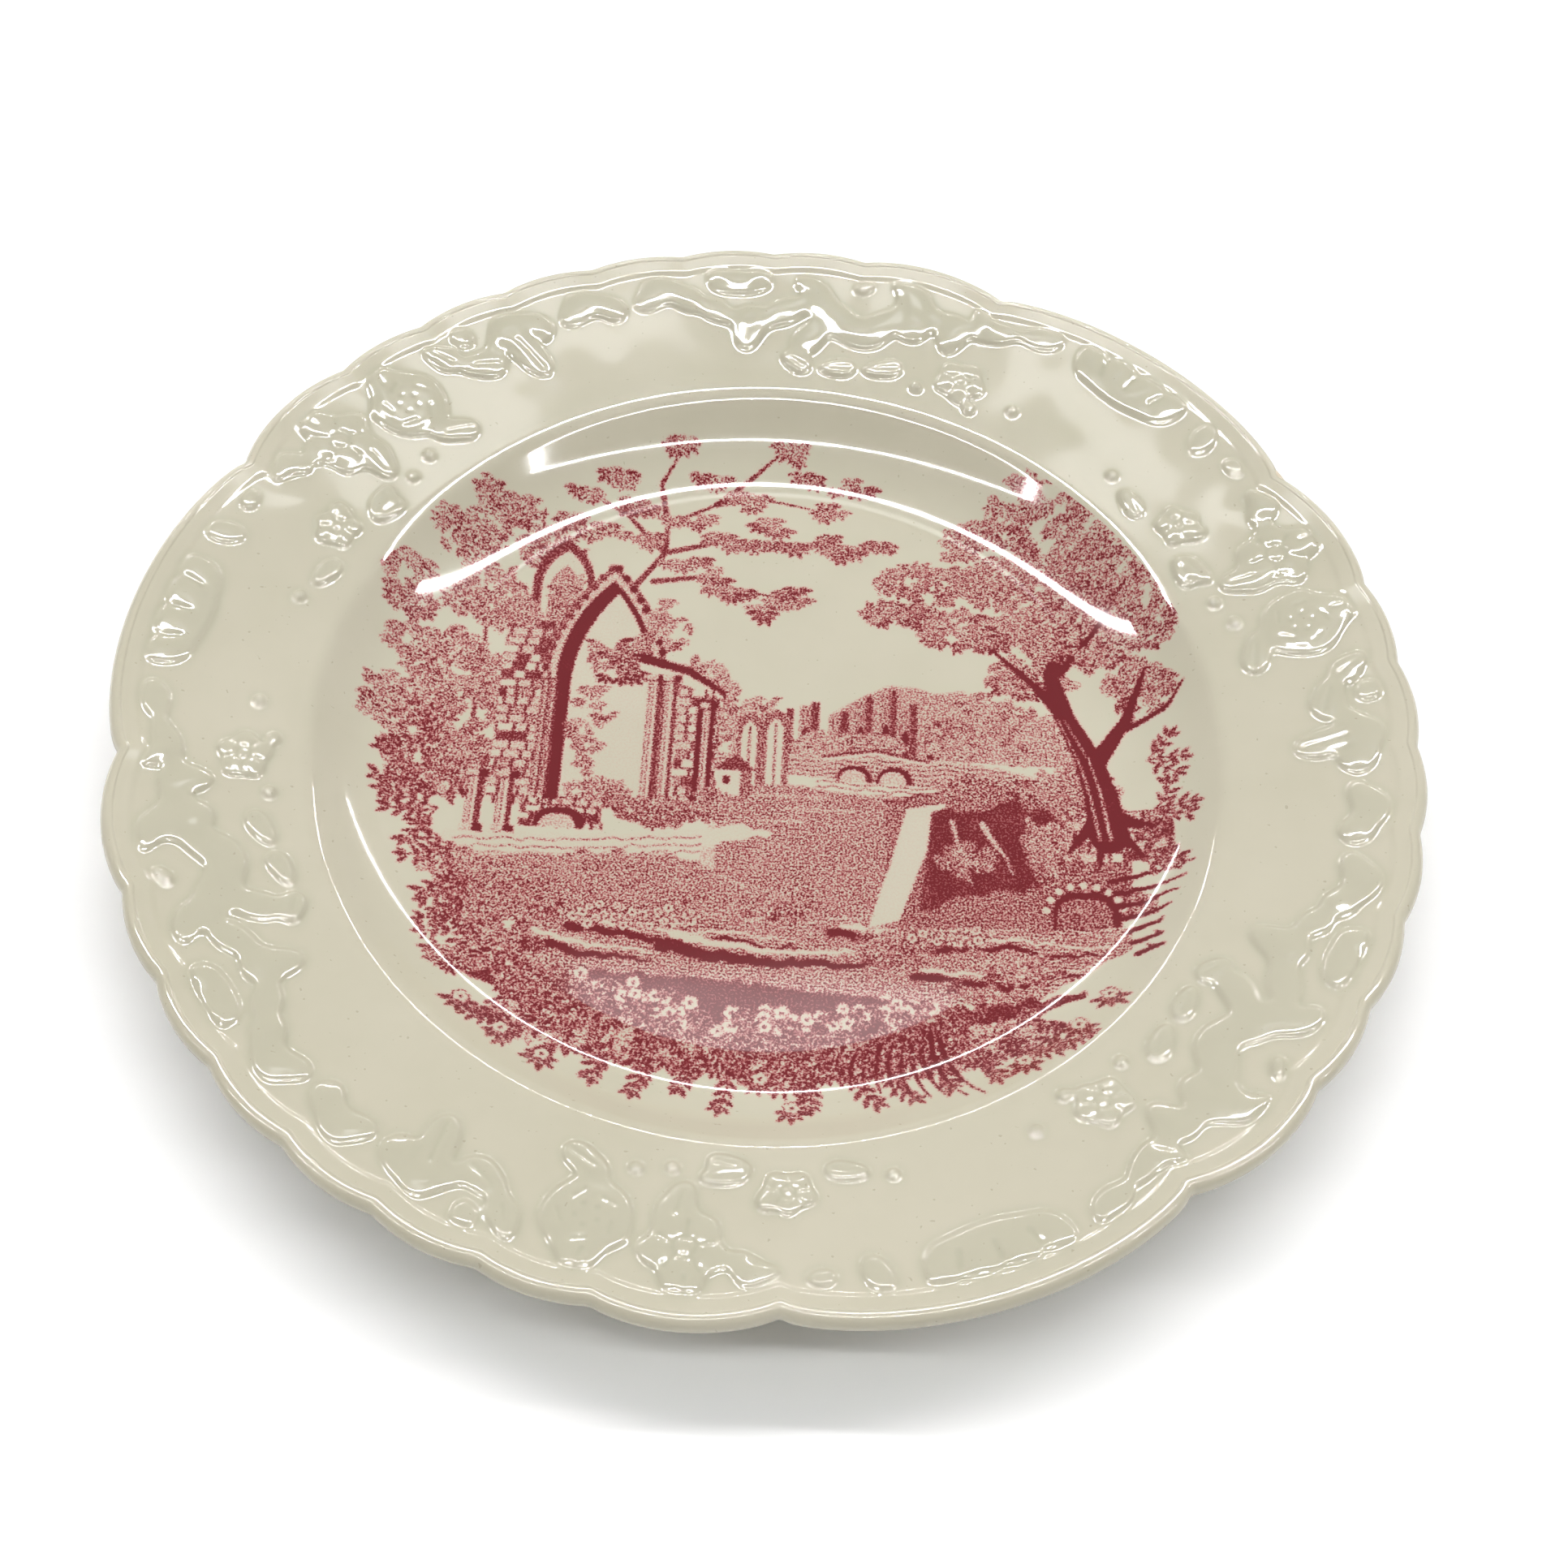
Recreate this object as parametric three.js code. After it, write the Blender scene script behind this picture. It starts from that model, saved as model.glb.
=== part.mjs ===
// China dinner plate: a scalloped earthenware plate with a transfer print under a clear glaze.
// Millimetres, +Z up. The origin is on the plate's axis, in the plane that the foot ring stands on.
// The four layers are turned from one cross-section, so that they meet face to face.

import * as THREE from 'three';

// Heights above the table
const FLOOR_Z = 7.0;            // glazed floor of the well
const VERGE_Z = 17.3;           // where the lines of the well's wall and of the rim cross
const EDGE_Z = 22.5;            // centre of the rounded edge
const RECESS_Z = 2.6;           // glazed underside inside the foot ring
const FOOT_GLAZE_Z = 0.9;       // where the glaze is wiped back, above the table

// Radii from the plate's axis
const FLOOR_RADIUS = 65.5;      // flat part of the well
const VERGE_RADIUS = 89.8;
const EDGE_RADIUS = 124.9;      // centre of the rounded edge, before scalloping
const PRINT_RADIUS = 86;
const FOOT_OUTER_RADIUS = 76.2;
const FOOT_INNER_RADIUS = 72;

// Thicknesses and small radii
const WALL_THICKNESS = 4.3;
const EDGE_ROUND = 2.1;
const EDGE_LIFT = 0.3;          // the rounded edge stands this far above the line of the rim
const WELL_FILLET = 32;         // concave, between the well's floor and its wall
const VERGE_ROUND = 8;          // convex, between the wall and the rim
const FOOT_BEVEL = 0.6;
const FOOT_TAPER = 1.0;
const RECESS_FILLET = 1.4;
const GLAZE = 0.3;
const PRINT = 0.1;

// The scalloped edge repeats three times. Each scallop swings out between two notches.
const REPEATS = 3;
const FIRST_NOTCH = 33.5;       // degrees from +X
const DEEP_NOTCH = 122.2;       // radius of the edge's centre line at the notches of the large lobe
const SHALLOW_NOTCH = 124.2;
const SMALL_WIDTH = 28 / 3;     // degrees, one of six small scallops
const LARGE = { width: 34.8, from: DEEP_NOTCH, to: DEEP_NOTCH, rise: 4.4, fullness: 0.5, steps: 8 };
const FIRST = { width: 14.6, from: DEEP_NOTCH, to: SHALLOW_NOTCH, rise: 2.7, fullness: 0.7, steps: 4 };
const SMALL = {
  width: SMALL_WIDTH, from: SHALLOW_NOTCH, to: SHALLOW_NOTCH, rise: 1.3, fullness: 0.8, steps: 4,
};
const LAST = { width: 14.6, from: SHALLOW_NOTCH, to: DEEP_NOTCH, rise: 2.7, fullness: 0.7, steps: 4 };
const THIRD = [LARGE, FIRST, SMALL, SMALL, SMALL, SMALL, SMALL, SMALL, LAST];
const SCALLOP_START = 108;      // inside this radius the plate is round
const SCALLOP_MIDDLE = 115;     // about halfway through the change to the scalloped shape

const FILLET_PIECES = 3;
const EDGE_PIECES = 4;

// One entry for each step around the plate: its angle and the radius of the edge there
function scallopedSteps() {
  const steps = [];
  for (let repeat = 0; repeat < REPEATS; repeat += 1) {
    let start = FIRST_NOTCH + repeat * (360 / REPEATS);
    for (const scallop of THIRD) {
      for (let step = 0; step < scallop.steps; step += 1) {
        const share = step / scallop.steps;
        const bulge = scallop.rise * Math.sin(Math.PI * share) ** scallop.fullness;
        steps.push({
          angle: THREE.MathUtils.degToRad(start + share * scallop.width),
          edge: THREE.MathUtils.lerp(scallop.from, scallop.to, share) + bulge,
        });
      }
      start += scallop.width;
    }
  }
  return steps;
}

const STEPS = scallopedSteps();

// Splits each four-sided facet along the same diagonal whichever way the section runs, so that two
// layers that share a curved surface have the same triangles on it
function matchingTriangles(section, turns) {
  const triangles = [];
  for (let turn = 0; turn < turns; turn += 1) {
    for (let place = 0; place < section.length - 1; place += 1) {
      const near = section[place];
      const far = section[place + 1];
      const outward = near.x === far.x ? near.y < far.y : near.x < far.x;
      const a = turn * section.length + place;
      const b = a + section.length;
      if (outward) {
        triangles.push(a, b, a + 1, b + 1, a + 1, b);
      } else {
        triangles.push(a, b, b + 1, a, b + 1, a + 1);
      }
    }
  }
  return triangles;
}

// Turns a cross-section around the plate's axis, then moves its outer points out to the scallops
function turned(section) {
  const geometry = new THREE.LatheGeometry(section, STEPS.length);
  const positions = geometry.attributes.position;
  for (let turn = 0; turn <= STEPS.length; turn += 1) {
    const { angle, edge } = STEPS[turn % STEPS.length];
    section.forEach((point, place) => {
      const reach = THREE.MathUtils.smoothstep(point.x, SCALLOP_START, EDGE_RADIUS - EDGE_ROUND);
      const radius = point.x + reach * (edge - EDGE_RADIUS);
      const index = turn * section.length + place;
      positions.setXYZ(index, radius * Math.cos(angle), radius * Math.sin(angle), point.y);
    });
  }
  geometry.setIndex(matchingTriangles(section, STEPS.length));
  geometry.computeVertexNormals();
  return geometry;
}

// The cross-section has x as the radius and y as the height
const at = (radius, height) => new THREE.Vector2(radius, height);

function arc(centre, radius, fromDegrees, toDegrees, pieces) {
  const points = [];
  for (let piece = 0; piece <= pieces; piece += 1) {
    const degrees = THREE.MathUtils.lerp(fromDegrees, toDegrees, piece / pieces);
    const angle = THREE.MathUtils.degToRad(degrees);
    points.push(at(centre.x + radius * Math.cos(angle), centre.y + radius * Math.sin(angle)));
  }
  return points;
}

const heightOnLine = (start, slope, radius) => start.y + slope * (radius - start.x);

const verge = at(VERGE_RADIUS, VERGE_Z);
const crest = at(EDGE_RADIUS, EDGE_Z + EDGE_ROUND);
const rimSlope = (crest.y - EDGE_LIFT - verge.y) / (crest.x - verge.x);
const rimTilt = THREE.MathUtils.radToDeg(Math.atan(rimSlope));

// The wall leaves the well's fillet on a tangent and meets the rim's line at the verge
function wallTiltThroughVerge() {
  const passes = 40;
  let tilt = THREE.MathUtils.radToDeg(Math.atan2(VERGE_Z - FLOOR_Z, VERGE_RADIUS - FLOOR_RADIUS));
  for (let pass = 0; pass < passes; pass += 1) {
    const angle = THREE.MathUtils.degToRad(tilt);
    const tangent = at(
      FLOOR_RADIUS + WELL_FILLET * Math.sin(angle),
      FLOOR_Z + WELL_FILLET * (1 - Math.cos(angle)),
    );
    tilt = THREE.MathUtils.radToDeg(Math.atan2(verge.y - tangent.y, verge.x - tangent.x));
  }
  return tilt;
}

const wallTilt = wallTiltThroughVerge();
const wallSlope = Math.tan(THREE.MathUtils.degToRad(wallTilt));

// Face of the glazed plate, from the axis out to the top of the rounded edge
function faceLine() {
  const centre = at(FLOOR_RADIUS, FLOOR_Z + WELL_FILLET);
  const fillet = arc(centre, WELL_FILLET, -90, -90 + wallTilt, FILLET_PIECES);
  const run = VERGE_ROUND * Math.tan(THREE.MathUtils.degToRad((wallTilt - rimTilt) / 2));
  const onWall = (radius) => at(radius, heightOnLine(verge, wallSlope, radius));
  const onRim = (radius) => at(radius, heightOnLine(verge, rimSlope, radius));
  return [
    at(0, FLOOR_Z),
    ...fillet,
    onWall(PRINT_RADIUS),
    onWall(VERGE_RADIUS - run),
    onRim(VERGE_RADIUS + run),
    onRim(SCALLOP_START),
    onRim(SCALLOP_MIDDLE),
    onRim(EDGE_RADIUS - 2 * EDGE_ROUND),
  ];
}

// The rounded edge, then the underside in to where the glaze stops on the foot ring
function undersideLine() {
  const rimDrop = WALL_THICKNESS / Math.cos(THREE.MathUtils.degToRad(rimTilt));
  const wallDrop = WALL_THICKNESS / Math.cos(THREE.MathUtils.degToRad(wallTilt));
  const underRim = (radius) => at(radius, heightOnLine(verge, rimSlope, radius) - rimDrop);
  const underWall = (radius) => at(radius, heightOnLine(verge, wallSlope, radius) - wallDrop);
  const corner = verge.x + (wallDrop - rimDrop) / (wallSlope - rimSlope);
  return [
    ...arc(at(EDGE_RADIUS, EDGE_Z), EDGE_ROUND, 90, -90 + rimTilt, EDGE_PIECES),
    underRim(SCALLOP_MIDDLE),
    underRim(SCALLOP_START),
    underRim(corner),
    underWall(FOOT_OUTER_RADIUS + 2 * FOOT_TAPER),
    at(FOOT_OUTER_RADIUS + FOOT_TAPER / 2, FLOOR_Z - WALL_THICKNESS + FOOT_TAPER),
    at(FOOT_OUTER_RADIUS, FOOT_GLAZE_Z),
  ];
}

// The recess inside the foot ring, from where its glaze starts in to the axis
function recessLine() {
  return [
    at(FOOT_INNER_RADIUS, FOOT_GLAZE_Z),
    at(FOOT_INNER_RADIUS - FOOT_BEVEL / 2, RECESS_Z - RECESS_FILLET / 2),
    at(FOOT_INNER_RADIUS - RECESS_FILLET, RECESS_Z),
    at(0, RECESS_Z),
  ];
}

// Moves a line of points into the plate. Going out over the face and back under it, the plate is
// on the right of each stretch.
function sunk(line, depth) {
  return line.map((point, place) => {
    const before = line[Math.max(place - 1, 0)];
    const after = line[Math.min(place + 1, line.length - 1)];
    const into = at(0, 0);
    for (const [start, end] of [[before, point], [point, after]]) {
      const along = end.clone().sub(start).normalize();
      into.add(at(along.y, -along.x));
    }
    into.normalize();
    const first = point.clone().sub(before).normalize();
    const last = after.clone().sub(point).normalize();
    const ends = place === 0 || place === line.length - 1;
    const corner = ends ? 1 : Math.sqrt((1 + first.dot(last)) / 2);
    return point.clone().addScaledVector(into, depth / corner);
  });
}

const outerSkin = [...faceLine(), ...undersideLine()];
const outerBody = sunk(outerSkin, GLAZE);
const recessSkin = recessLine();
const recessBody = sunk(recessSkin, GLAZE);
const printEnd = outerSkin.findIndex((point) => point.x === PRINT_RADIUS);
const printFoot = outerBody.slice(0, printEnd + 1);
const printTop = sunk(outerSkin, GLAZE - PRINT).slice(0, printEnd + 1);

const bareFoot = [
  at(FOOT_OUTER_RADIUS - GLAZE - FOOT_BEVEL, 0),
  at(FOOT_INNER_RADIUS + GLAZE + FOOT_BEVEL, 0),
];

const reversed = (line) => [...line].reverse();

const cream = 0xcdc8b2;
const biscuit = 0xd9cdb4;
const crimson = 0x8c2036;

function piece(name, section, color, roughness) {
  const material = new THREE.MeshStandardMaterial({ color, roughness, metalness: 0 });
  const mesh = new THREE.Mesh(turned(section), material);
  mesh.name = name;
  return mesh;
}

const plate = new THREE.Group();
plate.add(
  piece('biscuit_body', reversed([...outerBody, ...bareFoot, ...recessBody]), biscuit, 0.85),
  piece('transfer_print', reversed([...printTop, ...reversed(printFoot)]), crimson, 0.45),
  piece(
    'outer_glaze',
    reversed([...outerSkin, ...reversed(outerBody.slice(printEnd)), ...reversed(printTop)]),
    cream,
    0.1,
  ),
  piece('recess_glaze', reversed([...reversed(recessBody), ...recessSkin]), cream, 0.1),
);

export default plate;
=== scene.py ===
"""China dinner plate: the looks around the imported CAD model.

The glazed face carries the moulded rim, and the well carries a crimson landscape print.
Sizes are in millimetres until a mesh is made, and the mesh is in metres.
"""

import math

import bpy
import numpy as np
from mathutils import Matrix, Vector


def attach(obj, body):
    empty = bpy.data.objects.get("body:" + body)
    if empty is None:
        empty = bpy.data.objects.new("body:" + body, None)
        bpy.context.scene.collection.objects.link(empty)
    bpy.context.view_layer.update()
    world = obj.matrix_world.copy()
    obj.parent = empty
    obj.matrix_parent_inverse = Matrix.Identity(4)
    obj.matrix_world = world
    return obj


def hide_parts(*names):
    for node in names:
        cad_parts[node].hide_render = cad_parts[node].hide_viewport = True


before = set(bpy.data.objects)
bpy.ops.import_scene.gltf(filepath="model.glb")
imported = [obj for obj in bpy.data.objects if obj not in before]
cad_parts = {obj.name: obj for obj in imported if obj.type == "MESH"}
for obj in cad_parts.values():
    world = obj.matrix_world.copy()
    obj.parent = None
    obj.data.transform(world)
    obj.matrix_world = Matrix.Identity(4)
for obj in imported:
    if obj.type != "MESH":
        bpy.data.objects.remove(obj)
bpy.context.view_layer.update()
MM = 0.001

# ---------------------------------------------------------------- camera

CAMERA_ELEVATION = math.radians(53.59)
CAMERA_DISTANCE = 486.5  # from the middle of the rim's edge plane
CAMERA_LENS = 57.42
CAMERA_ROLL = math.radians(3.897)
EDGE_Z = 22.5  # centre of the rounded edge, above the table
AIM = Vector((3.45, -16.43, EDGE_Z))


def add_camera():
    camera = bpy.data.objects.new("camera", bpy.data.cameras.new("camera"))
    bpy.context.scene.collection.objects.link(camera)
    back = Vector((0, -math.cos(CAMERA_ELEVATION), math.sin(CAMERA_ELEVATION)))
    place = back * CAMERA_DISTANCE + Vector((0, 0, EDGE_Z))
    facing = (AIM - place).to_track_quat("-Z", "Y").to_matrix().to_4x4()
    turn = facing @ Matrix.Rotation(CAMERA_ROLL, 4, "Z")
    camera.matrix_world = Matrix.Translation(place * MM) @ turn
    camera.data.lens = CAMERA_LENS
    camera.data.sensor_width = 36
    camera.data.clip_start = 0.01
    bpy.context.scene.camera = camera


add_camera()

# ---------------------------------------------------------------- cross-section

FLOOR_Z = 7.0
VERGE_Z = 17.3
RECESS_Z = 2.6
FOOT_GLAZE_Z = 0.9
FLOOR_RADIUS = 65.5
VERGE_RADIUS = 89.8
EDGE_RADIUS = 124.9
FOOT_OUTER_RADIUS = 76.2
FOOT_INNER_RADIUS = 72
WALL_THICKNESS = 4.3
EDGE_ROUND = 2.1
EDGE_LIFT = 0.3
WELL_FILLET = 32
VERGE_ROUND = 8
GLAZE = 0.3
SEAM_RADIUS = 89.5  # the printed well meets the rim's glaze on the verge
SEAM_STEP = 0.06  # the rings beside the seam are this close, so that the two skins shade alike
LIP_RADIUS = 121.2  # a low lip follows the scalloped edge
LIP_HALF_WIDTH = 0.7


def rounded_line(corners, step):
    """Points along a line of (radius, height, rounding) corners, no more than step apart."""
    points = []
    for number, (x, y, rounding) in enumerate(corners):
        here = np.array((x, y), float)
        if rounding == 0 or number in (0, len(corners) - 1):
            points.append(here)
            continue
        before = np.array(corners[number - 1][:2], float) - here
        after = np.array(corners[number + 1][:2], float) - here
        before /= np.linalg.norm(before)
        after /= np.linalg.norm(after)
        half = math.acos(np.clip(before @ after, -1, 1)) / 2
        middle = (before + after) / np.linalg.norm(before + after)
        centre = here + middle * rounding / math.sin(half)
        start = here + before * rounding / math.tan(half) - centre
        end = here + after * rounding / math.tan(half) - centre
        sweep = math.pi - 2 * half
        pieces = max(2, math.ceil(sweep * rounding / step))
        for piece in range(pieces + 1):
            share = piece / pieces
            a = math.sin((1 - share) * sweep) / math.sin(sweep)
            b = math.sin(share * sweep) / math.sin(sweep)
            points.append(centre + a * start + b * end)
    filled = [points[0]]
    for point in points[1:]:
        gap = np.linalg.norm(point - filled[-1])
        if gap < 1e-9:
            continue
        pieces = max(1, math.ceil(gap / step))
        last = filled[-1]
        filled += [last + (point - last) * piece / pieces for piece in range(1, pieces + 1)]
    return np.array(filled)


def wall_tilt():
    """The wall leaves the well's fillet on a tangent and meets the rim's line at the verge."""
    tilt = math.radians(33)
    for _ in range(30):
        x = FLOOR_RADIUS + WELL_FILLET * math.sin(tilt)
        y = FLOOR_Z + WELL_FILLET * (1 - math.cos(tilt))
        tilt = math.atan2(VERGE_Z - y, VERGE_RADIUS - x)
    return tilt


WALL_TILT = wall_tilt()
WALL_SLOPE = math.tan(WALL_TILT)
RIM_SLOPE = (EDGE_Z + EDGE_ROUND - EDGE_LIFT - VERGE_Z) / (EDGE_RADIUS - VERGE_RADIUS)
RIM_TILT = math.atan(RIM_SLOPE)
RIM_DROP = WALL_THICKNESS / math.cos(RIM_TILT)
WALL_DROP = WALL_THICKNESS / math.cos(WALL_TILT)


def rim_line(radius):
    """Height of the rim's straight slope."""
    return VERGE_Z + RIM_SLOPE * (radius - VERGE_RADIUS)


def wall_line(radius):
    """Height of the well's straight wall."""
    return VERGE_Z + WALL_SLOPE * (radius - VERGE_RADIUS)


FACE = rounded_line(
    [
        (0, FLOOR_Z, 0),
        (FLOOR_RADIUS + WELL_FILLET * math.tan(WALL_TILT / 2), FLOOR_Z, WELL_FILLET),
        (VERGE_RADIUS, VERGE_Z, VERGE_ROUND),
        (EDGE_RADIUS, rim_line(EDGE_RADIUS), 0),
    ],
    0.05,
)


def smooth(value, low, high):
    """0 at low and 1 at high, with no corner between."""
    share = np.clip((value - low) / (high - low), 0, 1)
    return share * share * (3 - 2 * share)


def face_height(radius):
    """Height of the glazed face, with the lip that runs round the rim."""
    lip = EDGE_LIFT * smooth(radius, LIP_RADIUS - LIP_HALF_WIDTH, LIP_RADIUS + LIP_HALF_WIDTH)
    return np.interp(radius, FACE[:, 0], FACE[:, 1]) + lip


def edge_points(pieces, inset=0):
    """The rounded edge, from its tangent with the rim's face round to the underside."""
    angles = np.linspace(math.pi / 2 + RIM_TILT, RIM_TILT - math.pi / 2, pieces + 1)
    size = EDGE_ROUND - inset
    return np.stack([EDGE_RADIUS + size * np.cos(angles), EDGE_Z + size * np.sin(angles)], 1)


def underside_corners(inset=0):
    """From under the rounded edge in to where the glaze stops on the foot ring."""
    corner = VERGE_RADIUS + (WALL_DROP - RIM_DROP) / (WALL_SLOPE - RIM_SLOPE)
    foot_top = FLOOR_Z - WALL_THICKNESS + 1.0
    wall_end = FOOT_OUTER_RADIUS + 2
    return [
        (EDGE_RADIUS - 2, rim_line(EDGE_RADIUS - 2) - RIM_DROP + inset, 0),
        (corner - inset / 2, rim_line(corner) - RIM_DROP + inset, 12),
        (wall_end, wall_line(wall_end) - WALL_DROP + inset * 1.2, 1.5),
        (FOOT_OUTER_RADIUS + 0.5 - inset, foot_top, 1.2),
        (FOOT_OUTER_RADIUS - inset, FOOT_GLAZE_Z, 0),
    ]


# ---------------------------------------------------------------- scalloped edge

FIRST_NOTCH = 33.5  # degrees from +X
THIRD = 120
DEEP_NOTCH = 122.2
SHALLOW_NOTCH = 124.2
SCALLOP_START = 108
SMALL_SCALLOPS = 6
SMALL_WIDTH = 28 / 3
# Each scallop as (degrees wide, radius at its first notch, radius at its last, rise, fullness)
SCALLOPS = [(34.8, DEEP_NOTCH, DEEP_NOTCH, 4.4, 0.5), (14.6, DEEP_NOTCH, SHALLOW_NOTCH, 2.7, 0.7)]
SCALLOPS += [(SMALL_WIDTH, SHALLOW_NOTCH, SHALLOW_NOTCH, 1.3, 0.8)] * SMALL_SCALLOPS
SCALLOPS += [(14.6, SHALLOW_NOTCH, DEEP_NOTCH, 2.7, 0.7)]


def edge_shift(turn):
    """How far the edge stands out from its mean radius, at degrees from the first notch."""
    local = np.mod(turn, THIRD)
    shift = np.zeros_like(local)
    start = 0
    for width, first, last, rise, fullness in SCALLOPS:
        share = np.clip((local - start) / width, 0, 1)
        bulge = rise * np.sin(np.pi * share) ** fullness
        inside = (local >= start) & (local <= start + width)
        shift = np.where(inside, first + (last - first) * share + bulge - EDGE_RADIUS, shift)
        start += width
    return shift


def softened(values, passes):
    """A ring of values, with its cusps rounded as the glaze rounds them."""
    for _ in range(passes):
        values = (np.roll(values, 1) + 2 * values + np.roll(values, -1)) / 4
    return values


# ---------------------------------------------------------------- moulded relief

RELIEF = 0.62  # height of the moulded motifs' edges
RELIEF_DOME = 0.35  # their further rise towards the middle


class Panel:
    """One third of the rim, as a grid of degrees after a notch and radii, and its relief."""

    def __init__(self, turns, radii):
        self.turn, self.radius = np.meshgrid(turns, radii)
        self.field = np.zeros_like(self.turn)
        self.cuts = np.zeros_like(self.turn)

    def local(self, turn, radius, heading):
        """Millimetres along and across a motif that points heading degrees from the tangent."""
        away = np.mod(self.turn - turn + THIRD / 2, THIRD) - THIRD / 2
        x = np.radians(away) * radius
        y = self.radius - radius
        c = math.cos(math.radians(heading))
        s = math.sin(math.radians(heading))
        return x * c + y * s, y * c - x * s

    def lobe(self, turn, radius, length, width, heading=0):
        """A soft swelling that runs together with its neighbours, as clay does in a mould."""
        u, v = self.local(turn, radius, heading)
        self.field += 0.5 ** ((2 * u / length) ** 2 + (2 * v / width) ** 2)

    def cut(self, turn, radius, length, heading, width=0.55, depth=0.3):
        """A soft incised line, centred at turn and radius."""
        u, v = self.local(turn, radius, heading)
        groove = depth * np.exp(-((v / width) ** 2)) * smooth(length / 2 - np.abs(u), 0, 1)
        self.cuts = np.maximum(self.cuts, groove)

    def leaf(self, turn, radius, length, width, heading):
        """A leaf with a swollen middle, a pointed tip and a rib."""
        c = math.cos(math.radians(heading))
        s = math.sin(math.radians(heading))
        for along, long, wide in ((-0.12, 0.66, 1.0), (0.3, 0.5, 0.62)):
            there = turn + math.degrees(along * length * c / radius), radius + along * length * s
            self.lobe(*there, long * length, wide * width, heading)
        self.cut(turn, radius, length * 0.8, heading)

    def flower(self, turn, radius, size, petals, heading=0, squash=1.0):
        """Petals round a raised eye, size millimetres out from the middle."""
        for number in range(petals):
            angle = math.radians(heading + 360 * number / petals)
            x = 0.58 * size * math.cos(angle)
            y = 0.58 * size * math.sin(angle) * squash
            facing = math.degrees(math.atan2(y, x))
            there = turn + math.degrees(x / radius), radius + y
            self.lobe(*there, 0.85 * size, 3.3 * size / petals, facing)
            angle += math.pi / petals
            between = turn + math.degrees(0.5 * size * math.cos(angle) / radius)
            out = radius + 0.5 * size * math.sin(angle) * squash
            self.cut(between, out, 0.6 * size, math.degrees(angle))
        self.lobe(turn, radius, 0.7 * size, 0.7 * size * squash)
        u, v = self.local(turn, radius, 0)
        reach = np.hypot(u, v / squash)
        self.cuts = np.maximum(self.cuts, 0.35 * np.exp(-(((reach - 0.26 * size) / 0.5) ** 2)))

    def rose(self, turn, radius, size):
        """A round bloom with petals folded over each other."""
        for number in range(5):
            angle = math.radians(18 + 72 * number)
            x = size * math.cos(angle)
            y = size * math.sin(angle)
            self.lobe(turn + math.degrees(0.5 * x / radius), radius + 0.5 * y, 0.95 * size, 0.95 * size)
            for share in (0.28, 0.62):
                place = turn + math.degrees(share * x / radius), radius + share * y
                self.cut(*place, 0.9 * share * size, math.degrees(angle) + 70, 0.45, 0.25)

    def height(self):
        body = RELIEF * smooth(self.field, 0.42, 0.60) + RELIEF_DOME * smooth(self.field, 0.5, 1.6)
        return body - self.cuts * smooth(self.field, 0.5, 0.75)


# Soft swellings, as (degrees after a notch, radius, length, width, heading)
BROAD_SPRAY = [(18.2, 115.6, 19, 7, 0), (13.2, 118.6, 6, 4.4, 115), (16.4, 119.4, 5, 4, 95)]
BROAD_SPRAY += [(20, 119.4, 5, 4, 85), (23.4, 118.6, 6, 4.4, 65), (8.0, 117.6, 7, 4.8, 70)]
BROAD_SPRAY += [(28.8, 118.4, 7.6, 5.4, -15), (-1.4, 117.6, 5.6, 3.4, 25), (3.4, 118.2, 5, 3.4, -20)]
SCROLL = [(33.8, 116.0, 8.4, 5.6, -20), (38.2, 113.6, 6, 6.4, -60), (42.4, 114.2, 8, 6.4, 20)]
SCROLL += [(46.6, 108.4, 10, 6.6, -60), (51.6, 110.2, 8, 6.4, 15), (54.6, 103.6, 8.4, 6, -50)]
SCROLL_TIPS = [(35.6, 118.8, 5, 3.8, 55), (43.4, 117.6, 5.4, 4.4, 60), (49.4, 106.4, 5, 4.2, 0)]
SCROLL_TIPS += [(53.6, 113.2, 5.2, 4.2, 55), (38.2, 109.4, 4.4, 4, -80), (42.6, 109.6, 4.4, 4.2, 20)]
EDGE_CURLS = [(45.0, 119.4, 4.4, 2.8, 30), (49.0, 118.6, 4.4, 2.8, -20), (54.6, 117.4, 7, 3.6, 20)]
EDGE_CURLS += [(62.4, 117.6, 11, 5.6, 0), (60.2, 119.6, 4, 3.4, 115), (64.6, 119.6, 4, 3.4, 65)]
EDGE_CURLS += [(93.2, 118.8, 5.4, 3.8, 60), (117.2, 116.6, 7, 4, 75)]
TREFOIL = [(57.6, 110.6, 9, 5.6, 145), (65.2, 110.6, 6.6, 4.8, 30), (61.8, 105.0, 8.4, 5.6, -80)]
TREFOIL += [(61.4, 108.8, 4.6, 4.6, 0)]
SMALL_LEAVES = [(44.4, 99.4, 8, 4.2, -20), (50.2, 97.6, 7.4, 4, -10), (55.6, 97.8, 6.4, 3.8, 30)]
SMALL_LEAVES += [(87.4, 108.6, 13, 6, 75), (92.6, 110.4, 9, 6, 20), (96.2, 116.2, 8, 5.4, 60)]
SMALL_LEAVES += [(103.4, 119.0, 7, 5, 95), (100.2, 99.6, 9, 5, 20)]
SMALL_LEAVES += [(112.2, 119.6, 6.4, 5, 90), (110.6, 104.2, 8, 5.6, -80), (114.6, 94.8, 7, 3.4, 10)]
SMALL_LEAVES += [(-5.2, 97.2, 8, 4.2, 165), (7.0, 96.6, 7.6, 4, 12)]
BEADS = [(40.0, 96.8), (32.4, 95.8), (105.6, 98.6), (109.2, 97.0), (27.4, 99.4), (11.8, 98.8), (118.8, 103)]


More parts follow.
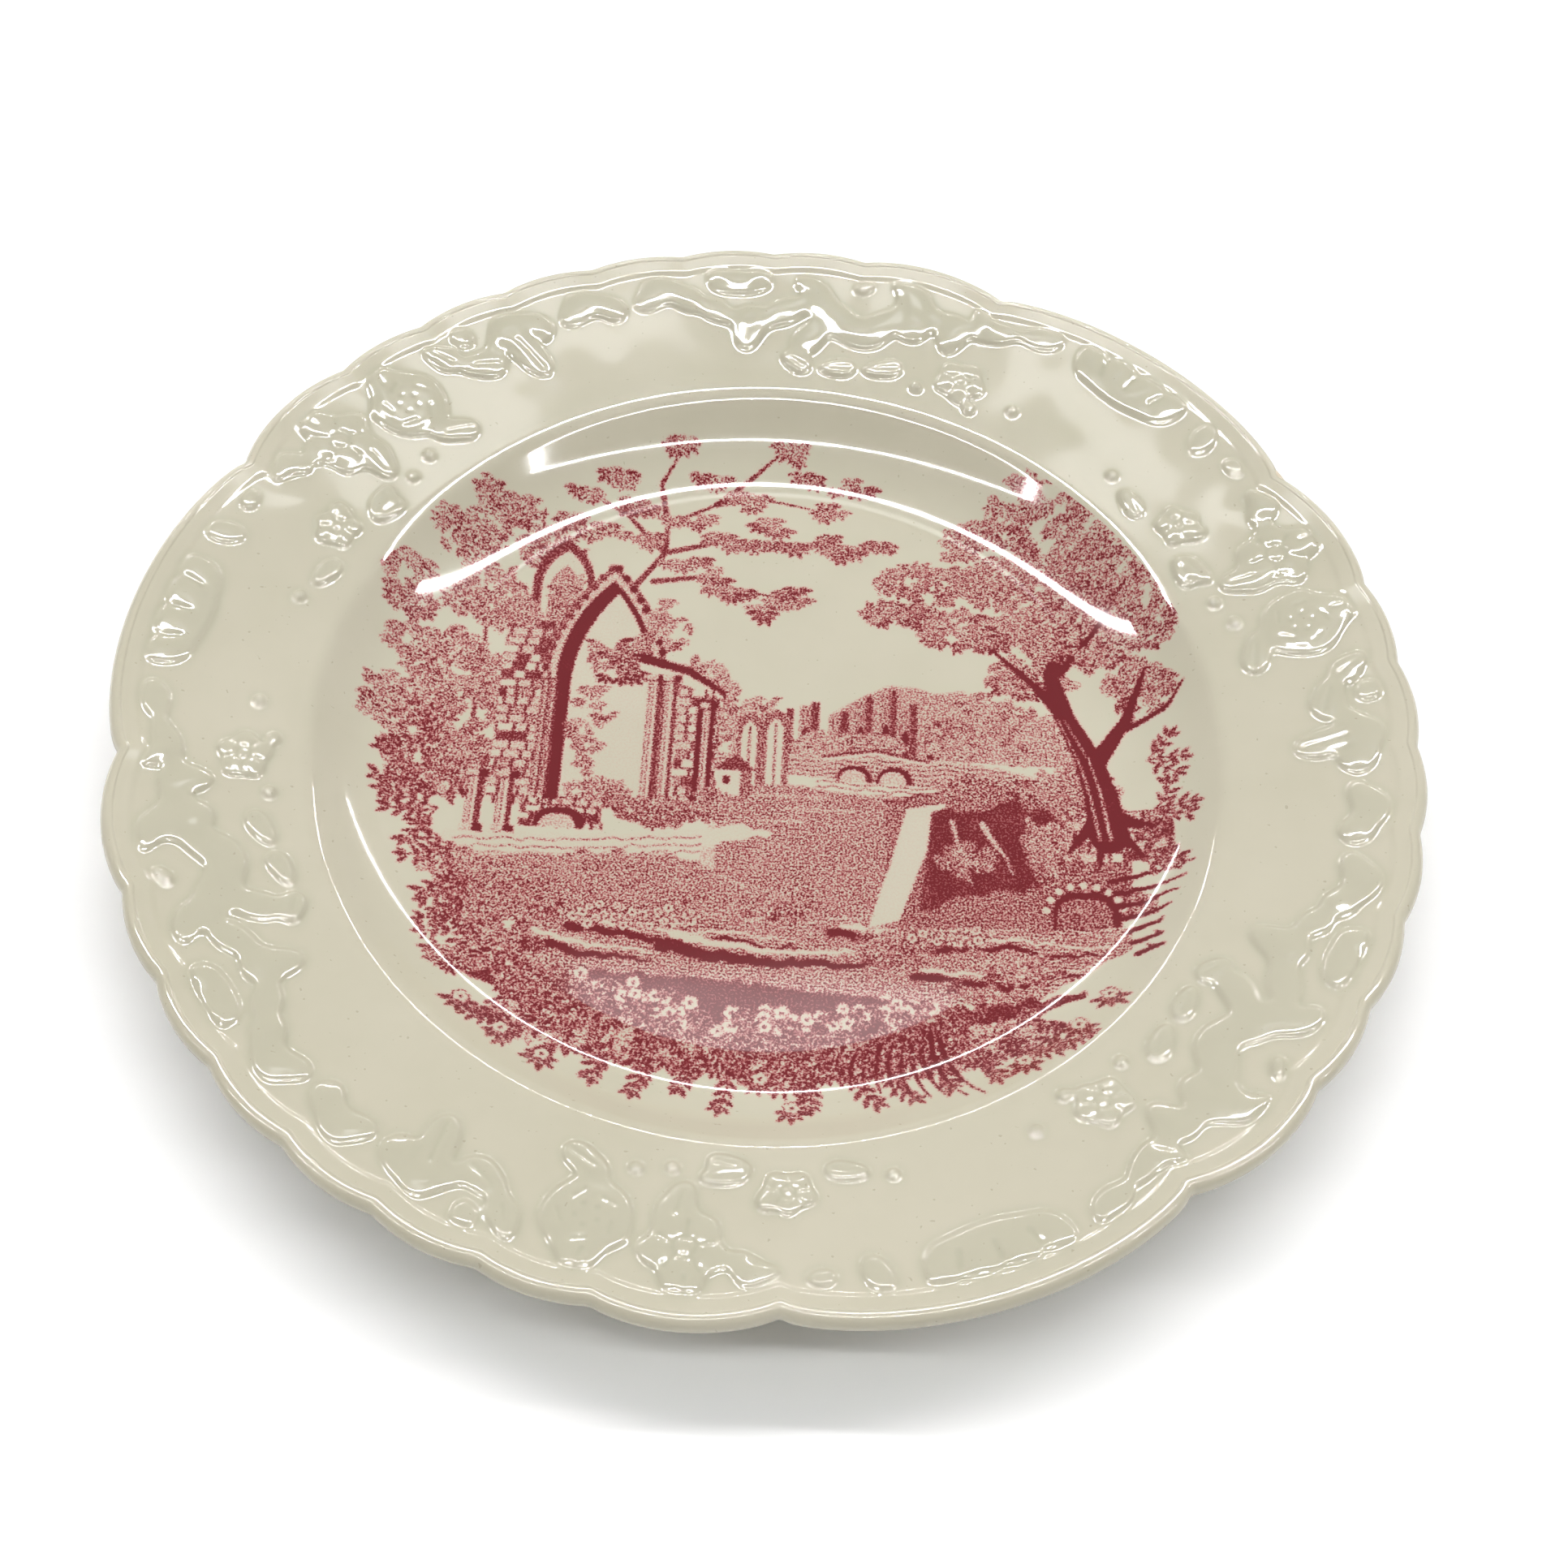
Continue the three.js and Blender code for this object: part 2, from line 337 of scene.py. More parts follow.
def mould(panel):
    """The sprays of one third of the rim."""
    for lobe in BROAD_SPRAY + SCROLL + SCROLL_TIPS + EDGE_CURLS + TREFOIL:
        panel.lobe(*lobe)
    for leaf in SMALL_LEAVES:
        panel.leaf(*leaf)
    for turn in (14.8, 18.2, 21.6):
        panel.cut(turn, 117.4, 5, 90 + 5 * (18.2 - turn))
    for turn in (70.6, 79.0, 87.4):
        panel.lobe(turn - 0.4, 116.8, 10, 5.8, 24)
        panel.lobe(turn + 2.0, 114.6, 5.6, 4.2, -25)
        panel.lobe(turn - 2.4, 113.8, 4.4, 3.8, 80)
    panel.flower(1, 100.4, 5.0, 5, heading=20, squash=0.85)
    panel.flower(35, 101.2, 5.6, 5, heading=40, squash=0.85)
    panel.flower(111.8, 112.6, 7.6, 5, heading=90, squash=0.95)
    panel.rose(102.8, 110.6, 7.6)
    for turn, radius in BEADS:
        panel.lobe(turn, radius, 2.6, 2.4)
    open_rim = smooth(panel.radius, 121.4, 119.8) * smooth(panel.radius, 91.4, 93.0)
    return panel.height() * open_rim


def blurred(values, passes):
    """A grid of values, with its slopes rounded as the glaze rounds them."""
    for _ in range(passes):
        values = (np.roll(values, 1, 1) + 2 * values + np.roll(values, -1, 1)) / 4
        values[1:-1] = (values[:-2] + 2 * values[1:-1] + values[2:]) / 4
    return values


def unevenness(x, y):
    """Slow waves of about a tenth of a millimetre at most, left by the mould and the kiln."""
    waves = [(0.021, 0.034, 0.4, 0.05), (-0.043, 0.027, 1.9, 0.04), (0.078, -0.051, 3.1, 0.02)]
    waves += [(0.104, 0.092, 0.7, 0.012), (-0.131, 0.117, 2.2, 0.009)]
    total = 0
    for across, along, phase, size in waves:
        total = total + size * np.sin(2 * np.pi * (across * x + along * y) / 2 + phase)
    return total


# ---------------------------------------------------------------- printed landscape

PRINT_HALF = 90.0  # the drawing covers this far each way from the plate's axis
PRINT_PITCH = 0.18
PRINT_SEED = 7
LEAF_LINE = 0.16  # width of the contrasting line round a leaf
# Ink coverage
PAPER = 0.03
PALE = 0.16
LIGHT = 0.42
MIDDLE = 0.62
STRONG = 0.84
SOLID = 1.0


def on_line(start, end, share):
    """The place a share of the way along a line."""
    return (start[0] + (end[0] - start[0]) * share, start[1] + (end[1] - start[1]) * share)


def step_from(place, length, heading):
    """The place that lies a length away, heading degrees from the +X direction."""
    turn = math.radians(heading)
    return (place[0] + length * math.cos(turn), place[1] + length * math.sin(turn))


class Drawing:
    """Ink coverage from 0 to 1 on a square grid of millimetres, painted back to front."""

    def __init__(self, seed):
        self.line = np.arange(-PRINT_HALF, PRINT_HALF, PRINT_PITCH)
        self.ink = np.zeros((len(self.line), len(self.line)))
        self.random = np.random.default_rng(seed)

    def window(self, low_x, high_x, low_y, high_y):
        """The part of the grid inside a box, and its coordinates."""
        first_x, last_x = np.searchsorted(self.line, (low_x, high_x))
        first_y, last_y = np.searchsorted(self.line, (low_y, high_y))
        x, y = np.meshgrid(self.line[first_x:last_x], self.line[first_y:last_y])
        return np.s_[first_y:last_y, first_x:last_x], x, y

    def paint(self, part, inside, ink):
        """Lays ink where inside, in millimetres from a shape's outline, is positive."""
        cover = np.clip(inside / PRINT_PITCH + 0.5, 0, 1)
        self.ink[part] = self.ink[part] * (1 - cover) + ink * cover

    def leaf(self, place, length, width, heading, ink):
        """A pointed leaf that starts at a place, with a thin contrasting line round it."""
        x, y = place
        reach = length + 0.6
        part, u, v = self.window(x - reach, x + reach, y - reach, y + reach)
        c, s = math.cos(math.radians(heading)), math.sin(math.radians(heading))
        along = ((u - x) * c + (v - y) * s) / length
        across = np.abs((v - y) * c - (u - x) * s)
        half = width / 2 * np.sin(np.pi * np.clip(along, 0, 1)) ** 0.7
        inside = np.where((along > -0.05) & (along < 1.05), half - across, -1.0)
        self.paint(part, inside + LEAF_LINE, PAPER if ink > LIGHT else STRONG)
        self.paint(part, inside, ink)

    def spot(self, x, y, wide, tall, ink):
        """A filled oval."""
        part, u, v = self.window(x - wide, x + wide, y - tall, y + tall)
        reach = np.hypot((u - x) / wide, (v - y) / tall)
        self.paint(part, (0.5 - reach) * min(wide, tall), ink)

    def shape(self, corners, ink):
        """A filled polygon."""
        corners = np.array(corners, float)
        low, high = corners.min(0), corners.max(0)
        part, x, y = self.window(low[0], high[0] + 0.3, low[1], high[1] + 0.3)
        inside = np.zeros(x.shape, bool)
        for (x1, y1), (x2, y2) in zip(corners, np.roll(corners, -1, 0)):
            if y1 != y2:
                inside ^= ((y1 > y) != (y2 > y)) & (x < (x2 - x1) * (y - y1) / (y2 - y1) + x1)
        self.ink[part] = np.where(inside, ink, self.ink[part])

    def block(self, left, right, low, high, ink):
        """A filled upright rectangle."""
        self.shape([(left, low), (right, low), (right, high), (left, high)], ink)

    def stroke(self, places, width, ink, end_width=None):
        """A line through places that tapers to end_width."""
        places = [np.array(p, float) for p in places]
        count = len(places) - 1
        end_width = width if end_width is None else end_width
        for number, (a, b) in enumerate(zip(places, places[1:])):
            low = np.minimum(a, b) - width
            high = np.maximum(a, b) + width
            part, x, y = self.window(low[0], high[0], low[1], high[1])
            step = b - a
            share = ((x - a[0]) * step[0] + (y - a[1]) * step[1]) / max(step @ step, 1e-9)
            share = np.clip(share, 0, 1)
            away = np.hypot(x - a[0] - share * step[0], y - a[1] - share * step[1])
            half = (width + (end_width - width) * (number + share) / count) / 2
            self.paint(part, half - away, ink)

    def ground(self, top, bottom, ink, pitch=0.0, slope=0.0, lines=STRONG):
        """A strip between two lines of points from left to right, with ruled shading."""
        self.shape(list(top) + list(reversed(bottom)), ink)
        if pitch:
            upper, lower = np.array(top), np.array(bottom)
            box = (upper[0, 0], upper[-1, 0], lower[:, 1].min(), upper[:, 1].max())
            part, x, y = self.window(*box)
            sway = 0.35 * np.sin(x * 0.31 + y * 0.17) + 0.2 * np.sin(x * 0.83)
            wave = np.abs(np.mod((y - slope * x) / pitch + sway, 1) - 0.5) * pitch
            inside = (y < np.interp(x, *upper.T) - 0.5) & (y > np.interp(x, *lower.T))
            self.paint(part, np.where(inside, pitch * 0.2 - wave, -1), lines)

    # ------------------------------------------------ plants

    def sprig(self, x, y, size, heading, ink, leaves=5, spread=130):
        """A fan of leaves on one stalk."""
        for number in range(leaves):
            turn = heading + spread * (number / (leaves - 1) - 0.5)
            length = size * self.random.uniform(0.75, 1.1)
            self.leaf((x, y), length, length * 0.34, turn, ink)

    def foliage(self, x, y, wide, tall, leaves, size, dark, light, heading=-90):
        """A mass of leaf fans, darker low and to the right, painted from the top down."""
        turns = self.random.uniform(0, 2 * math.pi, leaves)
        reach = np.sqrt(self.random.uniform(0, 1, leaves))
        across = reach * np.cos(turns)
        up = reach * np.sin(turns)
        for number in np.argsort(-up):
            shade = 0.5 + 0.35 * across[number] - 0.35 * up[number] + self.random.normal(0, 0.3)
            ink = light + (dark - light) * min(max(shade, 0), 1)
            if self.random.random() < 0.14:
                ink = PALE
            place = (x + wide * across[number], y + tall * up[number])
            turn = heading + self.random.normal(0, 40)
            self.sprig(*place, size * self.random.uniform(0.7, 1.2), turn, ink, 4, 110)

    def spray(self, place, length, heading, ink, pairs=4, size=3.2):
        """A bent stem with pairs of leaves and one at its tip."""
        bend = self.random.normal(0, 14)
        here = place
        for _ in range(pairs):
            there = step_from(here, length / pairs, heading)
            self.stroke([here, there], 0.42, ink)
            for side in (-1, 1):
                turn = heading + side * self.random.uniform(35, 60)
                long = size * self.random.uniform(0.75, 1.15)
                self.leaf(there, long, long * 0.36, turn, ink)
            here = there
            heading += bend
        self.leaf(here, size, size * 0.38, heading, ink)

    def blossom(self, x, y, size, turn):
        """A pale five-petalled flower with a thin outline and a dark eye."""
        for ink, grow in ((STRONG, 0.5), (PAPER, 0.0)):
            for number in range(5):
                px, py = step_from((x, y), size * 0.3, turn + 72 * number)
                self.spot(px, py, size * 0.44 + grow, size * 0.44 + grow, ink)
        self.spot(x, y, size * 0.26, size * 0.26, SOLID)

    # ------------------------------------------------ buildings

    def gothic(self, x, base, half, spring, rise, ink):
        """A filled wall or opening under a pointed arch of two arcs."""
        reach = (half * half + rise * rise) / (2 * half)
        sweep = math.acos(1 - half / reach)
        left = [(x - half, base)]
        for number in range(9):
            turn = sweep * number / 8
            left.append((x - half + reach * (1 - math.cos(turn)), spring + reach * math.sin(turn)))
        self.shape(left + [(2 * x - px, py) for px, py in reversed(left[:-1])], ink)

    def column(self, x, base, top, width, shade=STRONG):
        """A round column lit from the left, with flutes, a capital and a base."""
        self.block(x - width / 2, x + width / 2, base, top, PAPER)
        self.block(x + width * 0.1, x + width / 2, base, top, shade)
        for share in (-0.5, -0.22):
            self.stroke([(x + width * share, base), (x + width * share, top)], 0.26, STRONG)
        for y in (base, top):
            self.block(x - width * 0.75, x + width * 0.75, y - 0.8, y + 0.8, PALE)
            self.block(x + width * 0.1, x + width * 0.75, y - 0.8, y + 0.8, SOLID)
            self.stroke([(x - width * 0.75, y - 0.9), (x + width * 0.75, y - 0.9)], 0.3, SOLID)

    def masonry(self, left, right, low, high, course):
        """Courses of worn stones in mixed tones."""
        self.block(left, right, low, high, MIDDLE)
        for y in np.arange(low, high, course):
            x = left - self.random.uniform(0, course)
            while x < right:
                long = course * self.random.uniform(1.0, 2.0)
                ends = max(x, left), min(x + long - 0.4, right + self.random.uniform(-0.8, 0.8))
                ink = self.random.choice([PAPER, PALE, PALE, LIGHT, STRONG])
                if ends[1] - ends[0] > 0.6:
                    self.block(*ends, y, y + course - 0.45, ink)
                    self.stroke([(ends[1], y), (ends[1], y + course - 0.4)], 0.4, SOLID)
                x += long

    def rough(self, places, size=0.4):
        """Places with points added between them and shaken, as on a natural edge."""
        line = []
        for start, end in zip(places, places[1:]):
            pieces = max(2, int(abs(end[0] - start[0]) / 1.6))
            for piece in range(pieces):
                x, y = on_line(start, end, piece / pieces)
                line.append((x, y + self.random.normal(0, size)))
        return line + [places[-1]]


def draw_distance(d):
    """Hills, far ruins, round trees and a low bridge across the water."""
    hills = [(12, 12), (18, 17), (23, 20), (28, 20.5), (33, 19), (39, 20), (46, 17), (54, 12), (62, 8)]
    hills = d.rough(hills, 0.25)
    d.ground(hills, [(12, 2), (62, 2)], PALE, 0.8, 1.6, MIDDLE)
    towers = [(3, 12, 1.8), (8, 14, 2.0), (14, 12, 2.0), (19, 16, 1.8), (24, 18, 1.6)]
    towers += [(28, 15, 1.8), (33, 11, 1.6)]
    for x, top, half in towers:
        d.block(x - half, x + half, 1, top, LIGHT)
        d.block(x + half * 0.2, x + half, 1, top + 1, STRONG)
        for y in np.arange(3, top, 2.4):
            d.stroke([(x - half, y), (x + half, y)], 0.3, MIDDLE)
        d.gothic(x - half * 0.3, 2, half * 0.4, top * 0.5, 1.6, SOLID)
    for x, y, wide, tall in ((44, 13, 8, 7), (53, 9, 8, 7), (38, 7, 6, 4), (11, 5, 6, 3), (22, 5, 6, 3)):
        d.foliage(x, y, wide, tall, 90, 1.6, STRONG, LIGHT)
    bank = d.rough([(-12, 1.5), (2, 2.0), (14, 1.6), (30, 2.6), (46, 1.4), (60, -2)], 0.2)
    d.ground(bank, [(-12, -2.4), (60, -6)], PALE, 1.1, 0.0, MIDDLE)
    for x in (17.5, 25.5):
        d.gothic(x, -4.2, 3.6, -3.6, 3.4, SOLID)
        d.gothic(x - 0.3, -4.2, 2.7, -3.8, 2.6, PALE)
    d.stroke([(11, 1.6), (21.5, 3.8), (32, 1.6)], 0.7, STRONG)
    d.stroke([(11, 0.9), (21.5, 3.0), (32, 0.9)], 0.7, PAPER)
    for y in (-4.6, -5.8, -7.0):
        d.stroke(d.rough([(10, y), (44, y - 0.6)], 0.2), 0.32, MIDDLE)


def draw_water(d):
    """Still water in front of the far bank, with ruled shading."""
    far = d.rough([(-9, -6), (2, -5.4), (16, -6.6), (28, -8)], 0.15)
    near = [(-14, -36), (6, -38), (28, -37)]
    d.ground(far, near, PALE, 0.72, 0.9, STRONG)
    for y, left, right in ((-8.6, -2, 12), (-11.5, 4, 18), (-14.6, -1, 8)):
        d.stroke([(left, y), (right, y + 0.2)], 0.5, PALE)


def draw_cottage(d):
    """A small cottage and two lancet arches beyond the ruin."""
    d.foliage(-14, 13, 8, 11, 120, 2.0, STRONG, LIGHT)
    d.foliage(-2, 8, 6, 8, 80, 1.9, STRONG, LIGHT)
    for x, top in ((-3.6, 12), (1.6, 13)):
        d.gothic(x, -6, 2.6, top - 5, 4.6, MIDDLE)
        d.gothic(x - 0.2, -6, 1.6, top - 6, 3.4, PAPER)
        d.stroke([(x - 0.2, -6), (x - 0.2, top - 4)], 0.35, STRONG)
    d.block(-10, -3, -9, -2.8, PAPER)
    d.block(-5.2, -3, -9, -2.8, MIDDLE)
    d.shape([(-10.8, -3), (-6.2, 1.0), (-2.2, -3)], STRONG)
    d.block(-8.6, -7.2, -6.4, -4.4, SOLID)


def draw_left_trees(d):
    """Tall thin trees and undergrowth behind the ruin."""
    trunks = [[(-66, -12), (-73, 16), (-74, 42)], [(-60, -10), (-59, 24), (-62, 56)]]
    trunks += [[(-53, 0), (-50, 30), (-50, 60)]]
    for trunk in trunks:
        d.stroke(trunk, 1.2, STRONG, 0.35)
    crowns = [(-75, 36, 6, 7, 40), (-70, 23, 9, 7, 60), (-64, 50, 7, 6, 50), (-57, 60, 6, 4, 30)]
    crowns += [(-60, 38, 8, 7, 60), (-73, 8, 9, 8, 70), (-62, 14, 9, 12, 110), (-50, 32, 6, 12, 60)]
    crowns += [(-48, 52, 6, 5, 40)]
    for crown in crowns:
        d.foliage(*crown, 2.6, STRONG, LIGHT)
    d.foliage(-64, -6, 12, 8, 150, 2.7, SOLID, MIDDLE, 60)


def draw_over_tree(d):
    """A thin tree that leans over the arch, with hanging leaf fans."""
    limbs = [
        [(-30, 42), (-24, 52), (-24, 60), (-14, 66), (-2, 68), (8, 66)],
        [(-24, 52), (-33, 62), (-42, 66)],
        [(-24, 60), (-26, 70), (-22, 78)],
        [(-14, 66), (-6, 74), (0, 80)],
        [(-24, 52), (-12, 56), (-4, 54), (10, 57), (22, 56)],
        [(-26, 44), (-16, 46), (-8, 43), (4, 41)],
    ]
    for limb in limbs:
        d.stroke(limb, 1.4, STRONG, 0.35)
    fans = [(-42, 66), (-35, 71), (-30, 64), (-24, 79), (-17, 73), (-28, 56), (-19, 62), (-13, 57)]
    fans += [(-8, 68), (0, 80), (4, 75), (-3, 62), (8, 66), (15, 72), (-8, 56), (1, 57), (-20, 50)]
    fans += [(10, 58), (16, 56), (21, 57), (-10, 43), (-3, 40), (4, 42), (-16, 47), (-38, 57), (-45, 60)]
    for x, y in fans:
        for _ in range(4):
            place = (x + d.random.normal(0, 2.2), y + d.random.normal(0, 1.2))
            d.sprig(*place, d.random.uniform(2.6, 4.0), -90, d.random.uniform(0.5, 0.85), 6, 160)


def draw_ruin(d):
    """A ruined gable with one great pointed arch and a pair of columns."""
    d.gothic(-44.5, 30, 6.4, 42, 12, STRONG)
    d.gothic(-44.3, 30, 4.8, 41.5, 9.6, PAPER)
    d.gothic(-44.3, 30, 3.2, 40, 7, LIGHT)
    d.foliage(-44, 40, 3, 4, 14, 2.4, STRONG, MIDDLE)
    d.masonry(-55, -45, -14, 32, 2.2)
    d.foliage(-52, 33, 5, 3, 24, 2.2, STRONG, MIDDLE, 90)
    d.gothic(-34, -14, 12.5, 18, 30, MIDDLE)
    d.gothic(-34, -14, 11.4, 18, 28, PALE)
    d.gothic(-34, -14, 9.9, 18, 25.6, SOLID)
    d.gothic(-32.8, -14, 8.0, 16, 24.2, PAPER)
    for number in range(11):
        share = number / 10
        for side in (-1, 1):
            x = -34 + side * (12.2 - 11.5 * share**1.6)
            d.spot(x, 20 + 27 * share, 1.7, 1.9, SOLID if side > 0 else STRONG)
    for x in (-45.6, -43.9):
        d.column(x, -12, 18, 1.5)
    d.foliage(-31, 24, 6, 6, 34, 2.8, SOLID, MIDDLE)
    d.foliage(-36, 6, 4, 12, 30, 2.2, STRONG, LIGHT)
    d.shape([(-27, 25), (-17, 22), (-9, 16.4), (-9, 13.8), (-27, 20)], SOLID)
    d.shape([(-27, 22.6), (-17, 20), (-9.6, 15.2), (-9.6, 14.2), (-27, 20.6)], PAPER)
    d.masonry(-18.6, -11, -14, 15, 2.2)
    d.block(-14.6, -11, -14, 14, SOLID)
    for x in (-23.4, -20.2):
        d.column(x, -12, 19, 2.6)
    d.column(-12.4, -12, 12.6, 2.2, SOLID)
    d.masonry(-26, -10, -15.4, -12, 1.6)
    d.foliage(-22, 33, 4, 7, 40, 2.2, STRONG, LIGHT)
    d.foliage(-33, -11, 7, 3, 50, 2.0, STRONG, MIDDLE, 80)
    for x in (-57, -51):
        d.column(x, -20, -7, 3.0)
    d.masonry(-48, -32, -19, -13, 1.8)
    d.gothic(-40, -19, 5, -18, 3.6, SOLID)
    d.gothic(-40.4, -19, 3.6, -18.6, 2.8, PALE)
    d.foliage(-20, -15, 9, 3.0, 80, 2.0, SOLID, STRONG, 80)
    d.foliage(-10, -12, 4, 3.6, 40, 1.8, SOLID, MIDDLE, 80)


def draw_right_tree(d):
    """A leaning tree with a heavy crown over stones and a bank."""
    crowns = [(57, 67, 12, 7, 80, STRONG), (44, 59, 10, 6, 70, STRONG), (69, 54, 10, 10, 110, STRONG)]
    crowns += [(33, 48, 12, 5, 90, STRONG), (51, 49, 13, 7, 140, STRONG), (26, 40, 8, 3.4, 50, SOLID)]
    crowns += [(40, 36, 10, 5, 90, SOLID), (61, 38, 13, 8, 150, SOLID), (73, 38, 8, 10, 90, STRONG)]
    crowns += [(53, 25, 9, 5, 70, SOLID), (75, 22, 6, 7, 50, STRONG)]
    for x, y, wide, tall, leaves, dark in crowns:
        d.foliage(x, y, wide, tall, leaves, 2.5, dark, MIDDLE)
    d.stroke([(68, -14), (66.6, -4), (64.2, 5), (60, 14), (57, 25), (60, 36)], 8.0, SOLID, 1.8)
    for foot in ((60, -18), (66, -21), (74, -19), (79, -14)):
        d.stroke([(67, -8), foot], 4.0, SOLID, 0.8)
    d.stroke([(66, 4), (72, 14), (76, 26)], 4.0, SOLID, 0.7)
    d.stroke([(60, 14), (54, 22), (45, 31)], 3.0, SOLID, 0.6)
    d.stroke([(72, 12), (80, 16), (83, 21)], 1.4, SOLID, 0.4)
    d.stroke([(59, 26), (66, 36), (72, 46)], 2.0, SOLID, 0.4)
    for shift in (0.0, 2.2):
        bark = [(66.2 + shift, -15), (64.4 + shift, -4), (62.2 + shift, 5), (58.4 + shift * 0.6, 14)]
        d.stroke(d.rough(bark, 0.3), 0.7, LIGHT, 0.3)
    for crown in ((56, 34, 6, 4, 30), (67, 31, 5, 4, 30), (62, 46, 8, 5, 44)):
        d.foliage(*crown, 2.3, SOLID, MIDDLE)
    for x, y in ((78, 4), (79, -8), (76, -20)):
        for heading in (-40, 5, 50):
            d.spray((x - 2, y), 6, heading, STRONG, 3, 2.8)


def draw_rocks(d):
    """A pale cliff, dark caves and a broken wall beside the water."""
    slope = [(24, -8), (36, -6), (50, -2), (62, 2), (72, -8)]
    d.ground(slope, [(22, -38), (48, -36), (72, -34)], LIGHT, 0.8, 0.5, STRONG)
    d.shape([(28, -10), (36, -8), (32, -20), (27, -36), (21, -38), (25, -23)], PAPER)
    top = d.rough([(33, -10), (42, -9), (50, -7), (61, -12)], 0.8)
    d.ground(top, d.rough([(31, -34), (38, -30), (46, -28), (61, -25)], 0.8), STRONG, 0.8, 2.0, SOLID)
    cracks = [((37, -13), (41, -27), 1.0), ((43, -12), (49, -24), 1.4), ((52, -11), (54, -22), 0.9)]
    for start, end, width in cracks:
        d.stroke(d.rough([start, on_line(start, end, 0.5), end], 0.6), width, PALE, 0.3)
    d.stroke(d.rough([(24, -8.6), (36, -5.6), (52, -1.6)], 0.3), 0.8, STRONG, 0.4)
    d.masonry(59, 80, -20, -8, 2.4)
    d.foliage(40, -22, 6, 4, 40, 2.0, SOLID, STRONG, 60)
    d.foliage(44, -5, 12, 2.4, 50, 2.0, SOLID, STRONG, 60)
    d.foliage(62, -3, 8, 6, 90, 2.1, SOLID, MIDDLE)
    d.foliage(57, -17, 5, 7, 70, 2.1, SOLID, MIDDLE)
    hump = [(52, -28), (60, -23.6), (68, -23.6), (76, -30)]
    d.ground(hump, [(52, -37), (76, -34)], LIGHT, 0.8, -0.4, STRONG)
    d.gothic(63, -36, 6.4, -32, 4.6, SOLID)
    d.gothic(62.6, -36, 5.2, -32.6, 3.6, MIDDLE)
    for number in range(9):
        turn = 180 - (10 + 20 * number)
        x, y = step_from((62.6, -33), 7.4, turn)
        d.spot(x, y, 2.4, 2.4, SOLID)
        d.spot(x, y, 1.8, 1.8, PAPER)
    for number in range(7):
        y = -24 - 3.2 * number
        places = [(68 + 0.6 * number, y - 0.6), (76, y + 0.3), (83 - 1.6 * number, y + 1.4)]
        d.stroke(d.rough(places, 0.2), 1.3, SOLID, 0.4)


def draw_meadow(d):
    """The near bank, with ruled turf, pale paths and dark edges."""
    path = d.rough([(-62, -21), (-40, -20.4), (-18, -18.6), (-4, -16), (2, -17.6)], 0.3)
    low = d.rough([(-64, -27), (-40, -27), (-20, -24), (-6, -20), (2, -17.8)], 0.3)
    d.ground(path, low, PAPER)
    for y in (-21.6, -23.4, -25):
        d.stroke(d.rough([(-60, y - 1), (-34, y), (-12, y + 2.4)], 0.25), 0.3, MIDDLE)
    mound = d.rough([(-60, -27), (-46, -25), (-30, -24), (-16, -24), (-8, -27), (2, -33), (12, -38)])
    base = [(-60, -41), (12, -40)]
    d.ground(mound, base, PALE, 0.78, 1.0, STRONG)
    for _ in range(60):
        x = d.random.uniform(-56, 0)
        top = np.interp(x, *np.array(mound).T)
        place = (x, top - d.random.uniform(0.5, 11))
        d.sprig(*place, d.random.uniform(1.2, 2.2), 90, STRONG, 4, 90)
    near = d.rough([(-44, -38), (-14, -36.5), (10, -37), (30, -34), (52, -33), (71, -37)])
    foot = d.rough([(-44, -52), (-10, -52), (20, -53), (50, -54), (71, -42)])
    d.ground(near, foot, PALE, 0.74, -0.05, STRONG)
    edges = [
        ([(-36, -41), (-22, -43), (-6, -42.4), (8, -44)], 1.8),
        ([(-18, -44.6), (2, -47), (18, -46), (32, -45)], 2.8),
        ([(14, -39.6), (34, -42), (48, -40.6), (66, -43)], 2.0),
        ([(-48, -44), (-34, -47), (-20, -48)], 2.4),
        ([(30, -48), (46, -49), (62, -47)], 1.8),
    ]
    for places, width in edges:
        d.stroke(d.rough(places, 0.5), width, SOLID, 0.5)
        light = [(x + 2, y + width * 0.9) for x, y in places]
        d.stroke(d.rough(light, 0.3), width * 0.6, PAPER, 0.3)
    bushes = [(-50, -37, 12, 8, 150), (-60, -30, 6, 4, 50), (4, -34, 6, 4.4, 60)]
    bushes += [(26, -43, 7, 3.4, 50), (52, -46, 9, 3.4, 50)]
    for crown in bushes:
        d.foliage(*crown, 2.2, SOLID, MIDDLE, 80)
    for x, y, wide, tall in ((-24, -38.4, 12, 2.4), (36, -37.6, 9, 2.8)):
        for _ in range(44):
            px = x + d.random.uniform(-wide, wide)
            py = y + d.random.uniform(-tall, tall)
            d.blossom(px, py, d.random.uniform(1.6, 2.4), d.random.uniform(0, 72))
    bank = d.rough([(-56, -50), (-34, -51), (-8, -51), (18, -53), (44, -54), (62, -51)])
    under = d.rough([(-56, -53), (-40, -60), (-20, -63), (4, -64), (28, -62), (50, -57), (62, -53)])
    d.ground(bank, under, STRONG, 0.74, -0.6, SOLID)
    d.stroke(d.rough([(-60, -50), (-46, -52.6), (-34, -52)]), 2.6, SOLID, 0.8)


